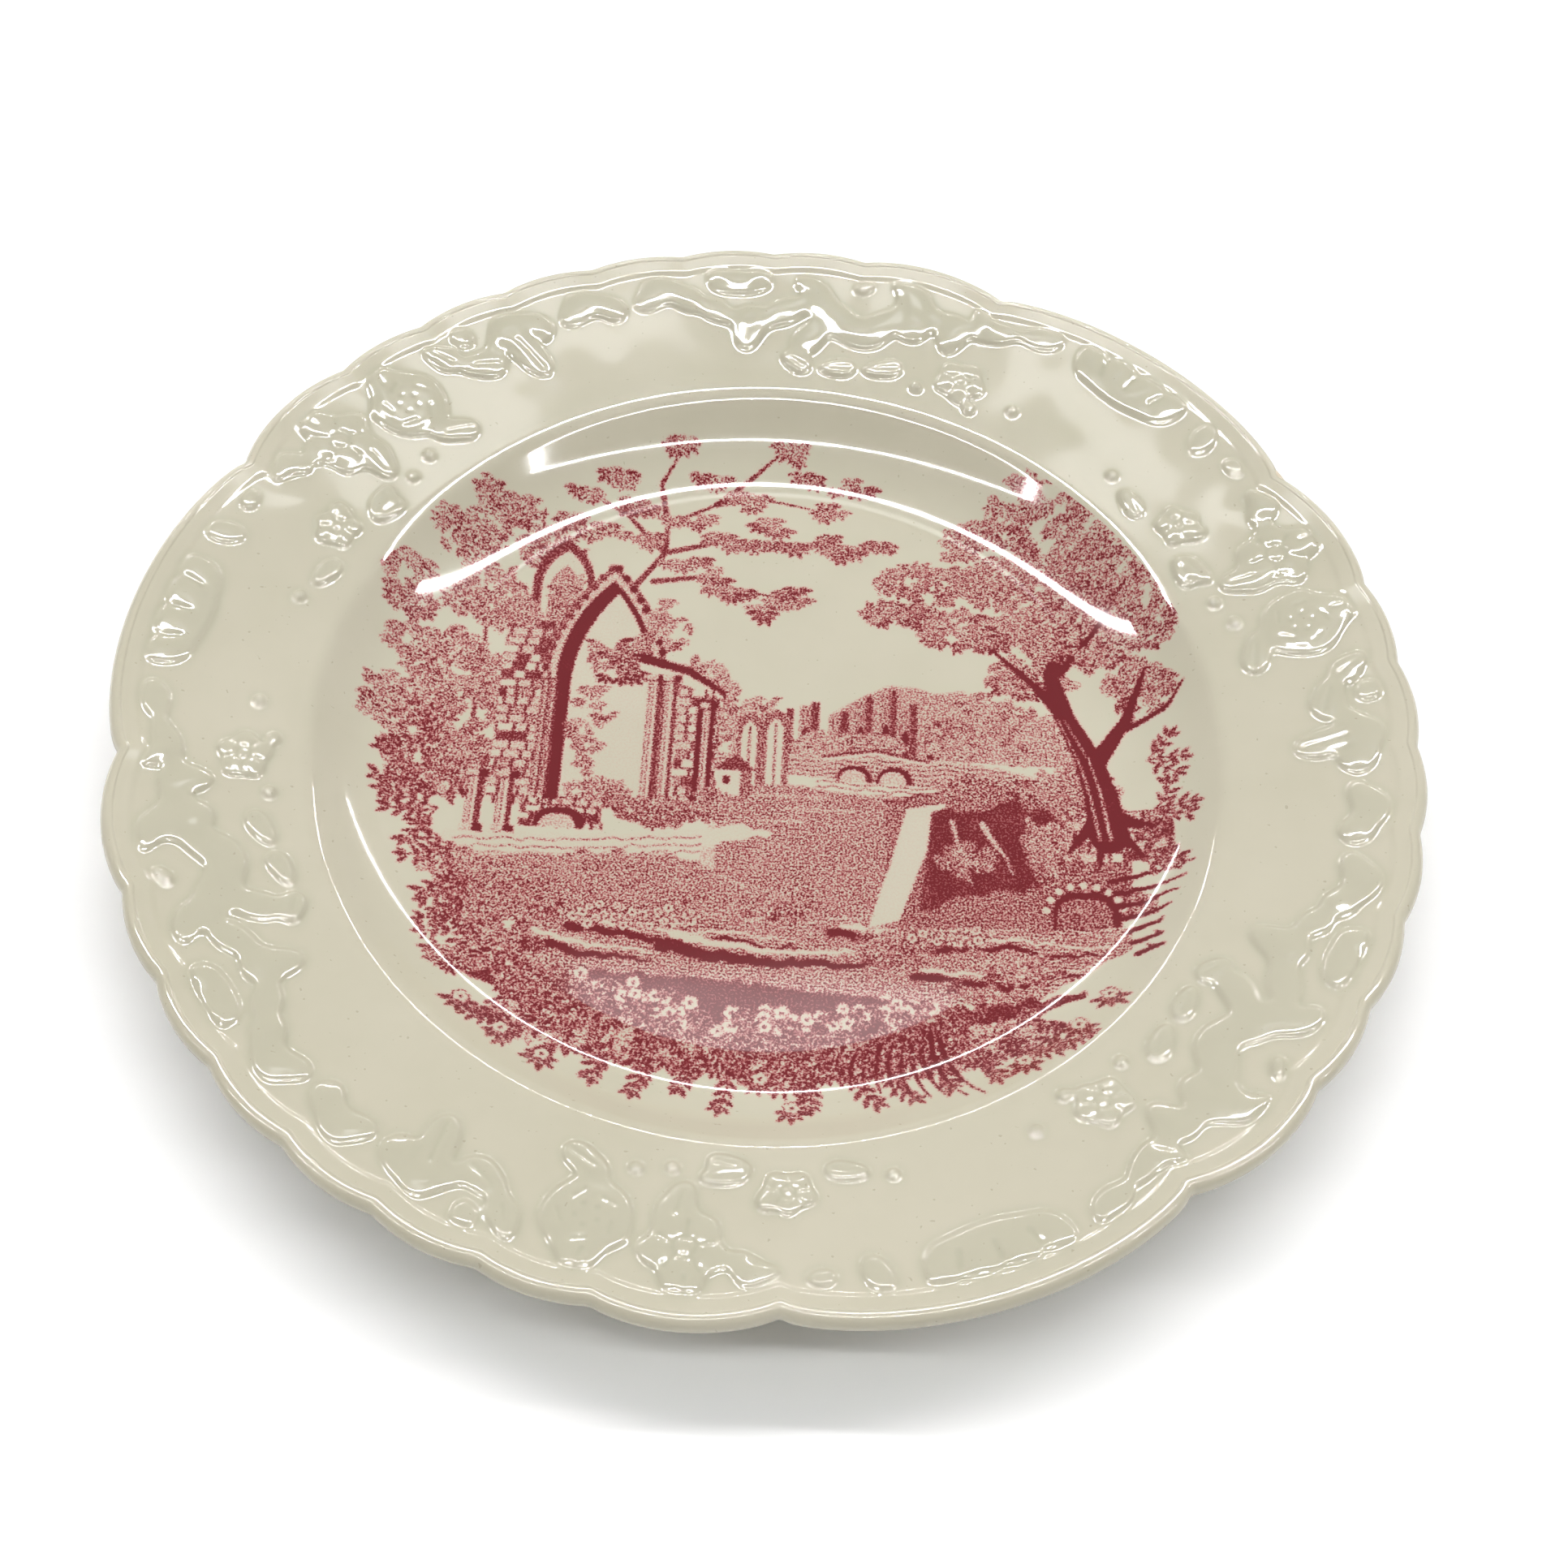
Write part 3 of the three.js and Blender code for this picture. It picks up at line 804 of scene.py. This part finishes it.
def draw_border(d):
    """Leaves, fern fronds and blossom along the lower edge."""
    for number in range(30):
        share = number / 29
        x = -44 + 96 * share
        y = -59.5 - 7.5 * math.sin(math.pi * share) ** 0.8
        d.foliage(x, y, 5.0, 4.4, 15, 3.6, SOLID, STRONG)
    for number in range(15):
        share = number / 14
        x = -48 + 104 * share
        y = -63 - 8 * math.sin(math.pi * share)
        heading = -150 + 120 * share + d.random.normal(0, 10)
        d.spray((x, y), d.random.uniform(5, 9), heading, STRONG, 4, 3.2)
    for number in range(9):
        here = (22 + 1.6 * number, -60)
        for piece in range(6):
            there = step_from(here, 2.3 + 0.1 * number, -122 + 5 * number + 7 * piece)
            d.stroke([here, there], 1.2 - 0.16 * piece, SOLID)
            here = there
    for _ in range(70):
        share = d.random.uniform(0, 1)
        x = -34 + 72 * share
        y = -53.4 - 7 * math.sin(math.pi * share) + d.random.normal(0, 1.8)
        d.blossom(x, y, d.random.uniform(2.2, 3.4), d.random.uniform(0, 72))
    for _ in range(110):
        share = d.random.uniform(0, 1)
        x = -38 + 80 * share
        y = -55 - 8 * math.sin(math.pi * share) + d.random.normal(0, 3)
        d.sprig(x, y, 2.6, d.random.uniform(-160, -20), SOLID, 4, 110)
    for x, y in ((-54, -60), (-46, -66), (-38, -71), (8, -79), (50, -68), (60, -60), (66, -53), (2, -72)):
        d.sprig(x, y - 1, 4.0, -90, STRONG, 5, 170)
        d.blossom(x, y, 3.0, 10)
    sides = [(-70, 0, 150), (-72, -8, 190), (-68, -16, 200)]
    sides += [(-64, -24, 215), (-60, -32, 220), (-58, -42, 205)]
    for x, y, heading in sides:
        for turn in (-38, 0, 38):
            d.spray((x + 4, y), 9, heading + turn, STRONG, 4, 3.0)
    for crown in ((-48, -46, 8, 4, 60), (-40, -54, 8, 4, 60), (-56, -50, 5, 3, 30)):
        d.foliage(*crown, 2.8, SOLID, STRONG)


def draw_landscape():
    """The whole picture, painted from the far distance to the lower border."""
    drawing = Drawing(PRINT_SEED)
    parts = [draw_distance, draw_water, draw_cottage, draw_left_trees, draw_over_tree, draw_ruin]
    parts += [draw_meadow, draw_rocks, draw_right_tree, draw_border]
    for part in parts:
        part(drawing)
    return drawing


# ---------------------------------------------------------------- meshes


def make_mesh(name, points, faces, values=None):
    """A smooth-shaded object from points in millimetres and an array of faces of one size."""
    mesh = bpy.data.meshes.new(name)
    mesh.vertices.add(len(points))
    mesh.vertices.foreach_set("co", (np.asarray(points) * MM).astype(np.float32).ravel())
    kept = [np.asarray(group, np.int32) for group in faces if len(group)]
    corners = np.concatenate([group.ravel() for group in kept])
    sizes = np.concatenate([np.full(len(group), group.shape[1], np.int32) for group in kept])
    mesh.loops.add(len(corners))
    mesh.polygons.add(len(sizes))
    mesh.loops.foreach_set("vertex_index", corners)
    mesh.polygons.foreach_set("loop_start", np.concatenate([[0], np.cumsum(sizes)[:-1]]))
    mesh.update(calc_edges=True)
    mesh.validate()
    mesh.shade_smooth()
    for label, data in (values or {}).items():
        attribute = mesh.attributes.new(label, "FLOAT", "POINT")
        attribute.data.foreach_set("value", np.asarray(data, np.float32).ravel())
    piece = bpy.data.objects.new(name, mesh)
    bpy.context.scene.collection.objects.link(piece)
    return piece


def crease(piece, group_of_vertex):
    """Marks the edges that run inside one numbered group of vertices as sharp."""
    mesh = piece.data
    ends = np.zeros(len(mesh.edges) * 2, np.int32)
    mesh.edges.foreach_get("vertices", ends)
    first = group_of_vertex[ends[0::2]]
    second = group_of_vertex[ends[1::2]]
    attribute = mesh.attributes.new("sharp_edge", "BOOLEAN", "EDGE")
    attribute.data.foreach_set("value", (first > 0) & (first == second))


def ring_quads(rings, around, closed):
    """Quads between neighbouring rings of points, facing out for a section run outward on top."""
    ring = np.arange(rings if closed else rings - 1)[:, None]
    step = np.arange(around)[None, :]
    after = (ring + 1) % rings
    beside = (step + 1) % around
    quads = [ring * around + step, after * around + step, after * around + beside, ring * around + beside]
    return np.stack(np.broadcast_arrays(*quads), -1).reshape(-1, 4)


def turned_points(section, around):
    """The section turned round the axis, with its outer points moved out to the scallops."""
    angles = 2 * np.pi * np.arange(around) / around
    shift = softened(edge_shift(np.degrees(angles) - FIRST_NOTCH), 3)
    reach = smooth(section[:, :1], SCALLOP_START, EDGE_RADIUS - EDGE_ROUND)
    radius = section[:, :1] + reach * shift[None, :]
    x = radius * np.cos(angles)
    y = radius * np.sin(angles)
    z = np.broadcast_to(section[:, 1:2], radius.shape)
    return np.stack([x, y, z], -1)


# ---------------------------------------------------------------- pieces of the plate

RIM_AROUND = 1800  # a multiple of 3, so that the three panels are alike
RIM_STEP = 0.36
EDGE_PIECES = 16  # round the outside of the edge
BACK_PIECES = 6  # round the back of the glaze
HOLLOW_SPREAD = 14  # blurring passes that find the hollows where glaze pools
POOL_DEPTH = 0.3
ROUND_PIECES = 720


def glaze_shell():
    """The glaze on the rim, over the edge and under the plate, as one closed skin."""
    inner_end = SEAM_RADIUS + SEAM_STEP
    outer_end = EDGE_RADIUS - EDGE_ROUND * math.sin(RIM_TILT)
    face_radii = np.concatenate([[SEAM_RADIUS], np.arange(inner_end, outer_end, RIM_STEP)])
    face = np.stack([face_radii, face_height(face_radii)], 1)
    under = rounded_line(underside_corners(), 1.2)
    back = rounded_line(underside_corners(GLAZE)[::-1], 6)
    inner = np.array([(r, face_height(r) - GLAZE) for r in (118, 106, 96, 91, SEAM_RADIUS)])
    edge = edge_points(EDGE_PIECES)
    section = np.concatenate([face, edge, under, back, edge_points(BACK_PIECES, GLAZE)[::-1], inner])
    points = turned_points(section, RIM_AROUND)
    turns = 360 * np.arange(RIM_AROUND // 3) / RIM_AROUND - FIRST_NOTCH
    panel = Panel(turns, face_radii)
    relief = np.tile(blurred(mould(panel), 1), (1, 3))
    top = len(face_radii)
    wide = blurred(relief, HOLLOW_SPREAD)
    points[:top, :, 2] += relief
    uneven = unevenness(points[..., 0], points[..., 1])
    points[..., 2] += uneven * smooth(section[:, :1], SEAM_RADIUS, SEAM_RADIUS + 12)
    pool = np.zeros(points.shape[:2])
    pool[:top] = np.clip((wide - relief) / POOL_DEPTH, 0, 1) + 0.5 * np.clip(relief / RELIEF, 0, 1)
    rings = len(section)
    piece = make_mesh(
        "rim_glaze", points.reshape(-1, 3), [ring_quads(rings, RIM_AROUND, True)], {"pool": pool}
    )
    group = np.zeros((rings, RIM_AROUND), int)
    foot = top + len(edge) + len(under) - 1
    group[0] = 1
    group[-1] = 2
    group[foot] = 3
    group[foot + 1] = 4
    crease(piece, group.ravel())
    return piece


WELL_CELLS = 640  # across the well, so the print's detail is about 0.3 mm
WELL_THICKNESS = 0.3
INK_SPREAD = 1  # blurring passes for the ink
HAZE_SPREAD = 16  # and for the colour that has run into the glaze


def disc_grid(cells, radius):
    """A square grid of points spread evenly over a disc."""
    line = np.linspace(-1, 1, cells + 1)
    a, b = np.meshgrid(line, line)
    wide = np.abs(a) > np.abs(b)
    safe_a = np.where(a == 0, 1, a)
    safe_b = np.where(b == 0, 1, b)
    angle = np.where(wide, np.pi / 4 * b / safe_a, np.pi / 2 - np.pi / 4 * a / safe_b)
    reach = np.where(wide, a, b)
    last = 1 - SEAM_STEP / radius
    reach = np.where(np.isclose(np.abs(reach), line[-2]), np.sign(reach) * last, reach)
    angle = np.where((a == 0) & (b == 0), 0, angle)
    return radius * reach * np.cos(angle), radius * reach * np.sin(angle)


def grid_border(cells):
    """Indices of the grid's outer points, in order round it."""
    side = cells + 1
    low = np.arange(side - 1)
    return np.concatenate(
        [low, low * side + side - 1, (side * side - 1) - low, (side - 1 - low) * side]
    )


def printed_well():
    """The glaze over the print, as one closed solid that carries the ink as point values."""
    x, y = disc_grid(WELL_CELLS, SEAM_RADIUS)
    z = face_height(np.hypot(x, y))
    side = WELL_CELLS + 1
    index = np.arange(side * side).reshape(side, side)
    quads = np.stack([index[:-1, :-1], index[:-1, 1:], index[1:, 1:], index[1:, :-1]], -1).reshape(-1, 4)
    border = grid_border(WELL_CELLS)
    top = np.stack([x, y, z], -1).reshape(-1, 3)
    count = len(top)
    around = len(border)
    under_radii = [*np.arange(SEAM_RADIUS, FLOOR_RADIUS, -1.5), FLOOR_RADIUS, 40, 12]
    rings = []
    for radius in under_radii:
        ring = top[border] * radius / SEAM_RADIUS
        ring[:, 2] = face_height(np.hypot(ring[:, 0], ring[:, 1])) - WELL_THICKNESS
        rings.append(ring)
    under = np.concatenate(rings)
    middle = np.array([[0, 0, FLOOR_Z - WELL_THICKNESS]])
    points = np.concatenate([top, under, middle])
    step = np.arange(around)
    beside = (step + 1) % around
    wall = np.stack([border[beside], border[step], count + step, count + beside], 1)
    below = ring_quads(len(under_radii), around, False) + count
    last = count + (len(under_radii) - 1) * around
    fan = np.stack([last + beside, last + step, np.full(around, len(points) - 1)], 1)
    ink, tone = print_values(x, y)
    spare = np.zeros(len(points) - count)
    values = {"ink": np.concatenate([ink.ravel(), spare]), "tone": np.concatenate([tone.ravel(), spare])}
    piece = make_mesh("printed_well", points, [quads, wall, below, fan], values)
    group = np.zeros(len(points), int)
    group[border] = 1
    group[count : count + around] = 2
    crease(piece, group)
    return piece


def print_values(x, y):
    """Ink, and the faint haze of colour round it, at each point of the well."""
    drawn = draw_landscape().ink
    rows = (y + PRINT_HALF) / PRINT_PITCH
    columns = (x + PRINT_HALF) / PRINT_PITCH
    low_row = rows.astype(int)
    low_column = columns.astype(int)
    up = rows - low_row
    right = columns - low_column
    layers = []
    for passes in (INK_SPREAD, HAZE_SPREAD):
        sheet = blurred(drawn, passes)
        low = sheet[low_row, low_column] * (1 - right) + sheet[low_row, low_column + 1] * right
        high = sheet[low_row + 1, low_column] * (1 - right) + sheet[low_row + 1, low_column + 1] * right
        layers.append(low * (1 - up) + high * up)
    return layers


def recess_skin():
    """The glaze inside the foot ring, as a thin skin.

    Known fault: this section starts and ends at the foot ring, not on the axis, so
    solid_of_revolution also closes it with two shallow cones across the recess.
    """
    outline = [
        (FOOT_INNER_RADIUS, FOOT_GLAZE_Z, 0),
        (FOOT_INNER_RADIUS - 0.5, RECESS_Z, 1.4),
        (0, RECESS_Z, 0),
    ]
    back = [(0, RECESS_Z + GLAZE, 0), (FOOT_INNER_RADIUS - 0.5 + GLAZE, RECESS_Z + GLAZE, 1.1)]
    back += [(FOOT_INNER_RADIUS + GLAZE, FOOT_GLAZE_Z, 0)]
    return solid_of_revolution("recess_glaze_skin", [outline, back], ROUND_PIECES, 2.5)


def biscuit_body():
    """The fired clay under the glaze. It shows at the bare foot ring."""
    radii = np.concatenate([[0, 20, 40, 60], np.arange(62, 120, 1.5)])
    face = [(r, float(face_height(r)) - GLAZE, 0) for r in radii]
    edge = [(float(r), float(z), 0) for r, z in edge_points(8, GLAZE)]
    foot = [
        (FOOT_OUTER_RADIUS - GLAZE, FOOT_GLAZE_Z, 0),
        (FOOT_OUTER_RADIUS - GLAZE - 0.3, 0, 0.5),
        (FOOT_INNER_RADIUS + GLAZE + 0.3, 0, 0.5),
        (FOOT_INNER_RADIUS + GLAZE, FOOT_GLAZE_Z, 0),
        (FOOT_INNER_RADIUS - 0.5 + GLAZE, RECESS_Z + GLAZE, 1.1),
        (0, RECESS_Z + GLAZE, 0),
    ]
    lines = [face, edge, underside_corners(GLAZE)[:-1], foot]
    return solid_of_revolution("biscuit", lines, ROUND_PIECES, 4)


def solid_of_revolution(name, lines, around, step):
    """A closed solid from lines of corners that start and end on the axis."""
    corners = [corner for line in lines for corner in line]
    section = rounded_line(corners, step)
    rings = turned_points(section[1:-1], around).reshape(-1, 3)
    count = len(section) - 2
    first = np.array([[0, 0, section[0, 1]]])
    last = np.array([[0, 0, section[-1, 1]]])
    points = np.concatenate([rings, first, last])
    step_round = np.arange(around)
    beside = (step_round + 1) % around
    tail = (count - 1) * around
    start_fan = np.stack([step_round, beside, np.full(around, len(rings))], 1)
    end_fan = np.stack([tail + beside, tail + step_round, np.full(around, len(rings) + 1)], 1)
    return make_mesh(name, points, [ring_quads(count, around, False), start_fan, end_fan])


# ---------------------------------------------------------------- materials


def new_material(name):
    """A material, its node tree and its shader."""
    material = bpy.data.materials.new(name)
    material.use_nodes = True
    tree = material.node_tree
    return material, tree, tree.nodes["Principled BSDF"]


def own_place(tree):
    """The piece's own coordinates, in metres."""
    return add_node(tree, "ShaderNodeTexCoord").outputs["Object"]


def point_value(tree, name):
    """A value that the mesh carries at its points."""
    return add_node(tree, "ShaderNodeAttribute", {"attribute_name": name}).outputs["Fac"]


def add_node(tree, kind, settings=(), inputs=()):
    """A node with its settings made, and each input set to a value or linked to a socket."""
    node = tree.nodes.new(kind)
    for label, value in dict(settings).items():
        setattr(node, label, value)
    for label, value in dict(inputs).items():
        if isinstance(value, bpy.types.NodeSocket):
            tree.links.new(value, node.inputs[label])
        else:
            node.inputs[label].default_value = value
    return node


def ramp(tree, value, stops):
    """A colour ramp from (place, grey or colour) stops."""
    node = add_node(tree, "ShaderNodeValToRGB", inputs={"Fac": value})
    elements = node.color_ramp.elements
    while len(elements) < len(stops):
        elements.new(0.5)
    for element, (place, colour) in zip(elements, stops):
        element.position = place
        grey = isinstance(colour, (int, float))
        element.color = (colour, colour, colour, 1) if grey else (*colour, 1)
    return node.outputs["Color"]


def mixed(tree, share, first, second):
    """A colour that goes from first to second as share goes from 0 to 1."""
    node = add_node(tree, "ShaderNodeMix", {"data_type": "RGBA"})
    for label, value in (("Factor", share), ("A", first), ("B", second)):
        socket = [s for s in node.inputs if s.name == label and s.enabled][0]
        if isinstance(value, bpy.types.NodeSocket):
            tree.links.new(value, socket)
        elif isinstance(value, tuple):
            socket.default_value = (*value, 1)
        else:
            socket.default_value = value
    return [s for s in node.outputs if s.enabled][0]


def math_node(tree, operation, first, second=0.0, third=0.0):
    node = add_node(tree, "ShaderNodeMath", {"operation": operation})
    for socket, value in zip(node.inputs, (first, second, third)):
        if isinstance(value, bpy.types.NodeSocket):
            tree.links.new(value, socket)
        else:
            socket.default_value = value
    return node.outputs[0]


def noise(tree, place, scale, detail=2.0, roughness=0.5):
    inputs = {"Vector": place, "Scale": scale, "Detail": detail, "Roughness": roughness}
    return add_node(tree, "ShaderNodeTexNoise", inputs=inputs).outputs["Fac"]


CREAM_LIGHT = (0.520, 0.487, 0.382)
CREAM_DEEP = (0.480, 0.450, 0.345)
POOLED = (0.360, 0.352, 0.262)
IRON_SPECK = (0.24, 0.20, 0.14)
STAIN = (0.30, 0.23, 0.15)
GLAZE_IOR = 1.52
MOTTLE_SCALE = 26.0  # the scales are in cells to the metre
SPECK_SCALE = 1150.0
WEAR_SCALE = 60.0
RIPPLE_SCALE = 120.0
RIPPLE_HEIGHT = 0.00008
RIPPLE_STRENGTH = 0.02
SHARP_ROUGHNESS = 0.04
WORN_ROUGHNESS = 0.07
STIPPLE_SCALE = 2300.0  # dots of about 0.4 mm
STIPPLE_STRENGTH = 2.7
HAZE_STRENGTH = 0.16
# Colour of the ink, from a faint tint to a solid line
INK_STOPS = [(0.0, (0.54, 0.21, 0.21)), (0.3, (0.45, 0.10, 0.12)), (0.6, (0.33, 0.028, 0.050))]
INK_STOPS += [(0.85, (0.21, 0.006, 0.016)), (1.0, (0.13, 0.002, 0.006))]


def cream_glaze(tree, place, pool=None):
    """The cream ground: slow mottling, pooled glaze in the hollows and sparse iron specks."""
    mottle = noise(tree, place, MOTTLE_SCALE, 4.0, 0.6)
    ground = ramp(tree, mottle, [(0.3, CREAM_DEEP), (0.72, CREAM_LIGHT)])
    if pool is not None:
        deep = math_node(tree, "MULTIPLY", pool, 0.6)
        ground = mixed(tree, deep, ground, POOLED)
    speck = ramp(tree, noise(tree, place, SPECK_SCALE, 0.0), [(0.81, 0.0), (0.86, 1.0)])
    return mixed(tree, math_node(tree, "MULTIPLY", speck, 0.35), ground, IRON_SPECK)


def rippled(tree, bsdf, height, strength, distance):
    """A fine surface relief that a noise gives the shader."""
    inputs = {"Height": height, "Strength": strength, "Distance": distance}
    bump = add_node(tree, "ShaderNodeBump", inputs=inputs)
    tree.links.new(bump.outputs["Normal"], bsdf.inputs["Normal"])


def gloss(tree, bsdf, place):
    """The glaze's fine surface: nearly smooth, with a soft ripple and faint wear."""
    wear = noise(tree, place, WEAR_SCALE, 5.0, 0.65)
    span = {"From Min": 0.35, "From Max": 0.75, "To Min": SHARP_ROUGHNESS, "To Max": WORN_ROUGHNESS}
    rough = add_node(tree, "ShaderNodeMapRange", inputs={"Value": wear, **span})
    tree.links.new(rough.outputs["Result"], bsdf.inputs["Roughness"])
    rippled(tree, bsdf, noise(tree, place, RIPPLE_SCALE, 0.0), RIPPLE_STRENGTH, RIPPLE_HEIGHT)
    bsdf.inputs["IOR"].default_value = GLAZE_IOR


def glaze_material(name, pooled):
    """Clear glaze over the cream body, with darker pools if the mesh marks them."""
    material, tree, bsdf = new_material(name)
    place = own_place(tree)
    pool = point_value(tree, "pool") if pooled else None
    tree.links.new(cream_glaze(tree, place, pool), bsdf.inputs["Base Color"])
    gloss(tree, bsdf, place)
    return material


def well_material():
    """Crimson ink under the glaze. Half tones break up into dots, and solid lines stay whole."""
    material, tree, bsdf = new_material("printed_glaze")
    place = own_place(tree)
    ink = point_value(tree, "ink")
    tone = point_value(tree, "tone")
    cloud = math_node(tree, "MULTIPLY_ADD", noise(tree, place, 210.0, 3.0, 0.6), 0.6, 0.86)
    dots = ramp(tree, noise(tree, place, STIPPLE_SCALE, 1.0), [(0.36, 0.0), (0.64, 1.0)])
    stipple = math_node(tree, "SUBTRACT", dots, 0.5)
    open_share = math_node(tree, "SUBTRACT", 1.1, ink)
    half_tone = math_node(tree, "MULTIPLY", ink, open_share)
    play = math_node(tree, "MULTIPLY", half_tone, STIPPLE_STRENGTH)
    broken = math_node(tree, "MULTIPLY_ADD", stipple, play, ink)
    laid = math_node(tree, "MULTIPLY", broken, cloud)
    faint = math_node(tree, "MULTIPLY", tone, HAZE_STRENGTH)
    haze = mixed(tree, faint, cream_glaze(tree, place), INK_STOPS[0][1])
    cover = ramp(tree, laid, [(0.0, 0.0), (0.15, 0.2), (0.5, 0.74), (0.95, 1.0)])
    printed = mixed(tree, cover, haze, ramp(tree, laid, INK_STOPS))
    tree.links.new(printed, bsdf.inputs["Base Color"])
    gloss(tree, bsdf, place)
    return material


def biscuit_material():
    """Matt fired clay with a fine grain and some grime."""
    material, tree, bsdf = new_material("bare_biscuit")
    place = own_place(tree)
    grain = noise(tree, place, 900.0, 6.0, 0.7)
    stain = noise(tree, place, 45.0, 4.0, 0.6)
    clay = ramp(tree, grain, [(0.3, (0.50, 0.42, 0.30)), (0.7, (0.66, 0.58, 0.45))])
    dirt = ramp(tree, stain, [(0.45, 0.0), (0.75, 0.6)])
    tree.links.new(mixed(tree, dirt, clay, STAIN), bsdf.inputs["Base Color"])
    rough = ramp(tree, grain, [(0.2, 0.75), (0.8, 0.95)])
    tree.links.new(rough, bsdf.inputs["Roughness"])
    rippled(tree, bsdf, grain, 0.5, 0.0001)
    return material


# ---------------------------------------------------------------- assembly

PIECES = [
    (glaze_shell(), glaze_material("cream_glaze", True), "glaze", "outer_glaze"),
    (printed_well(), well_material(), "print", "transfer_print"),
    (recess_skin(), glaze_material("recess_glaze", False), "glaze", "recess_glaze"),
    (biscuit_body(), biscuit_material(), "biscuit", "biscuit_body"),
]
for piece, material, slot, node in PIECES:
    piece.data.materials.append(material)
    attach(piece, "root")
    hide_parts(node)


# ---------------------------------------------------------------- studio

ROOM = 2.0  # height of the lamps above the plate, in metres
# Tube lamps, as (name, distance along +Y, length), both as shares of their height
TUBES = [("front_a", 0.333, 1.74), ("front_b", 0.357, 1.74), ("back", -0.29, 3.4), ("far", 1.9, 3.0)]
TUBE_GLOW = 95  # radiance for the soft light on the clay and the print
TUBE_SHINE = 260  # radiance for the bright lines in the glaze
GLOW_DEPTH = 0.007
SHINE_DEPTH = 0.014
PATCHES = 4  # nested soft boxes, each smaller than the one before
PATCH_RADIANCE = 3.6
WINDOW_RADIANCE = 5
FLOOR_HALF = 6.0  # metres
FLOOR_GREY = (0.93, 0.93, 0.93, 1)


def area_light(name, x, y, width, depth, radiance, height=ROOM, shine=True, glow=True):
    """A rectangular lamp that faces the plate, with its place and size as shares of ROOM. It can be
    left out of the glaze's reflections, or out of the soft light on the clay and the print."""
    data = bpy.data.lights.new(name, "AREA")
    data.shape = "RECTANGLE"
    data.size = width * ROOM
    data.size_y = depth * ROOM
    data.energy = math.pi * radiance * data.size * data.size_y
    lamp = bpy.data.objects.new(name, data)
    bpy.context.scene.collection.objects.link(lamp)
    lamp.visible_glossy = shine
    lamp.visible_diffuse = glow
    lamp.location = (x * ROOM, y * ROOM, height)
    lamp.rotation_euler = (Vector((0, 0, 0)) - lamp.location).to_track_quat("-Z", "Y").to_euler()
    return lamp


def add_studio():
    """Tube lamps, an upright window lamp, nested soft boxes and a pale surround."""
    for name, y, width in TUBES:
        area_light(f"{name}_glow", 0, y, width, GLOW_DEPTH, TUBE_GLOW, shine=False)
        area_light(f"{name}_shine", 0, y, width, SHINE_DEPTH, TUBE_SHINE, glow=False)
    window = area_light("window", 0.11, 1.25, 0.42, 0.62, WINDOW_RADIANCE, height=0.86 * ROOM)
    window.rotation_euler = (math.pi / 2, 0, 0)
    for number in range(PATCHES):
        share = 1 - 0.17 * number
        area_light(f"patch_{number}", 0.005, 0.52, 0.21 * share, 0.067 * share, PATCH_RADIANCE)
    world = bpy.data.worlds.new("studio")
    bpy.context.scene.world = world
    world.use_nodes = True
    tree = world.node_tree
    direction = add_node(tree, "ShaderNodeTexCoord").outputs["Generated"]
    parts = add_node(tree, "ShaderNodeSeparateXYZ", inputs={"Vector": direction})
    side = math_node(tree, "MULTIPLY_ADD", parts.outputs["Y"], 0.20, 0.42)
    lift = math_node(tree, "MULTIPLY_ADD", parts.outputs["Z"], 0.10, side)
    background = tree.nodes["Background"]
    tree.links.new(lift, background.inputs["Strength"])
    background.inputs["Color"].default_value = (1.0, 0.995, 0.985, 1)


def add_floor():
    """A plain pale floor at the height of the foot ring."""
    corners = [(x * FLOOR_HALF, y * FLOOR_HALF, 0) for x, y in ((-1, -1), (1, -1), (1, 1), (-1, 1))]
    mesh = bpy.data.meshes.new("floor")
    mesh.from_pydata(corners, [], [(0, 1, 2, 3)])
    floor = bpy.data.objects.new("floor", mesh)
    bpy.context.scene.collection.objects.link(floor)
    material, _, bsdf = new_material("pale_floor")
    bsdf.inputs["Base Color"].default_value = FLOOR_GREY
    bsdf.inputs["Roughness"].default_value = 0.9
    mesh.materials.append(material)


add_studio()
add_floor()
bpy.context.scene.view_settings.view_transform = "Standard"
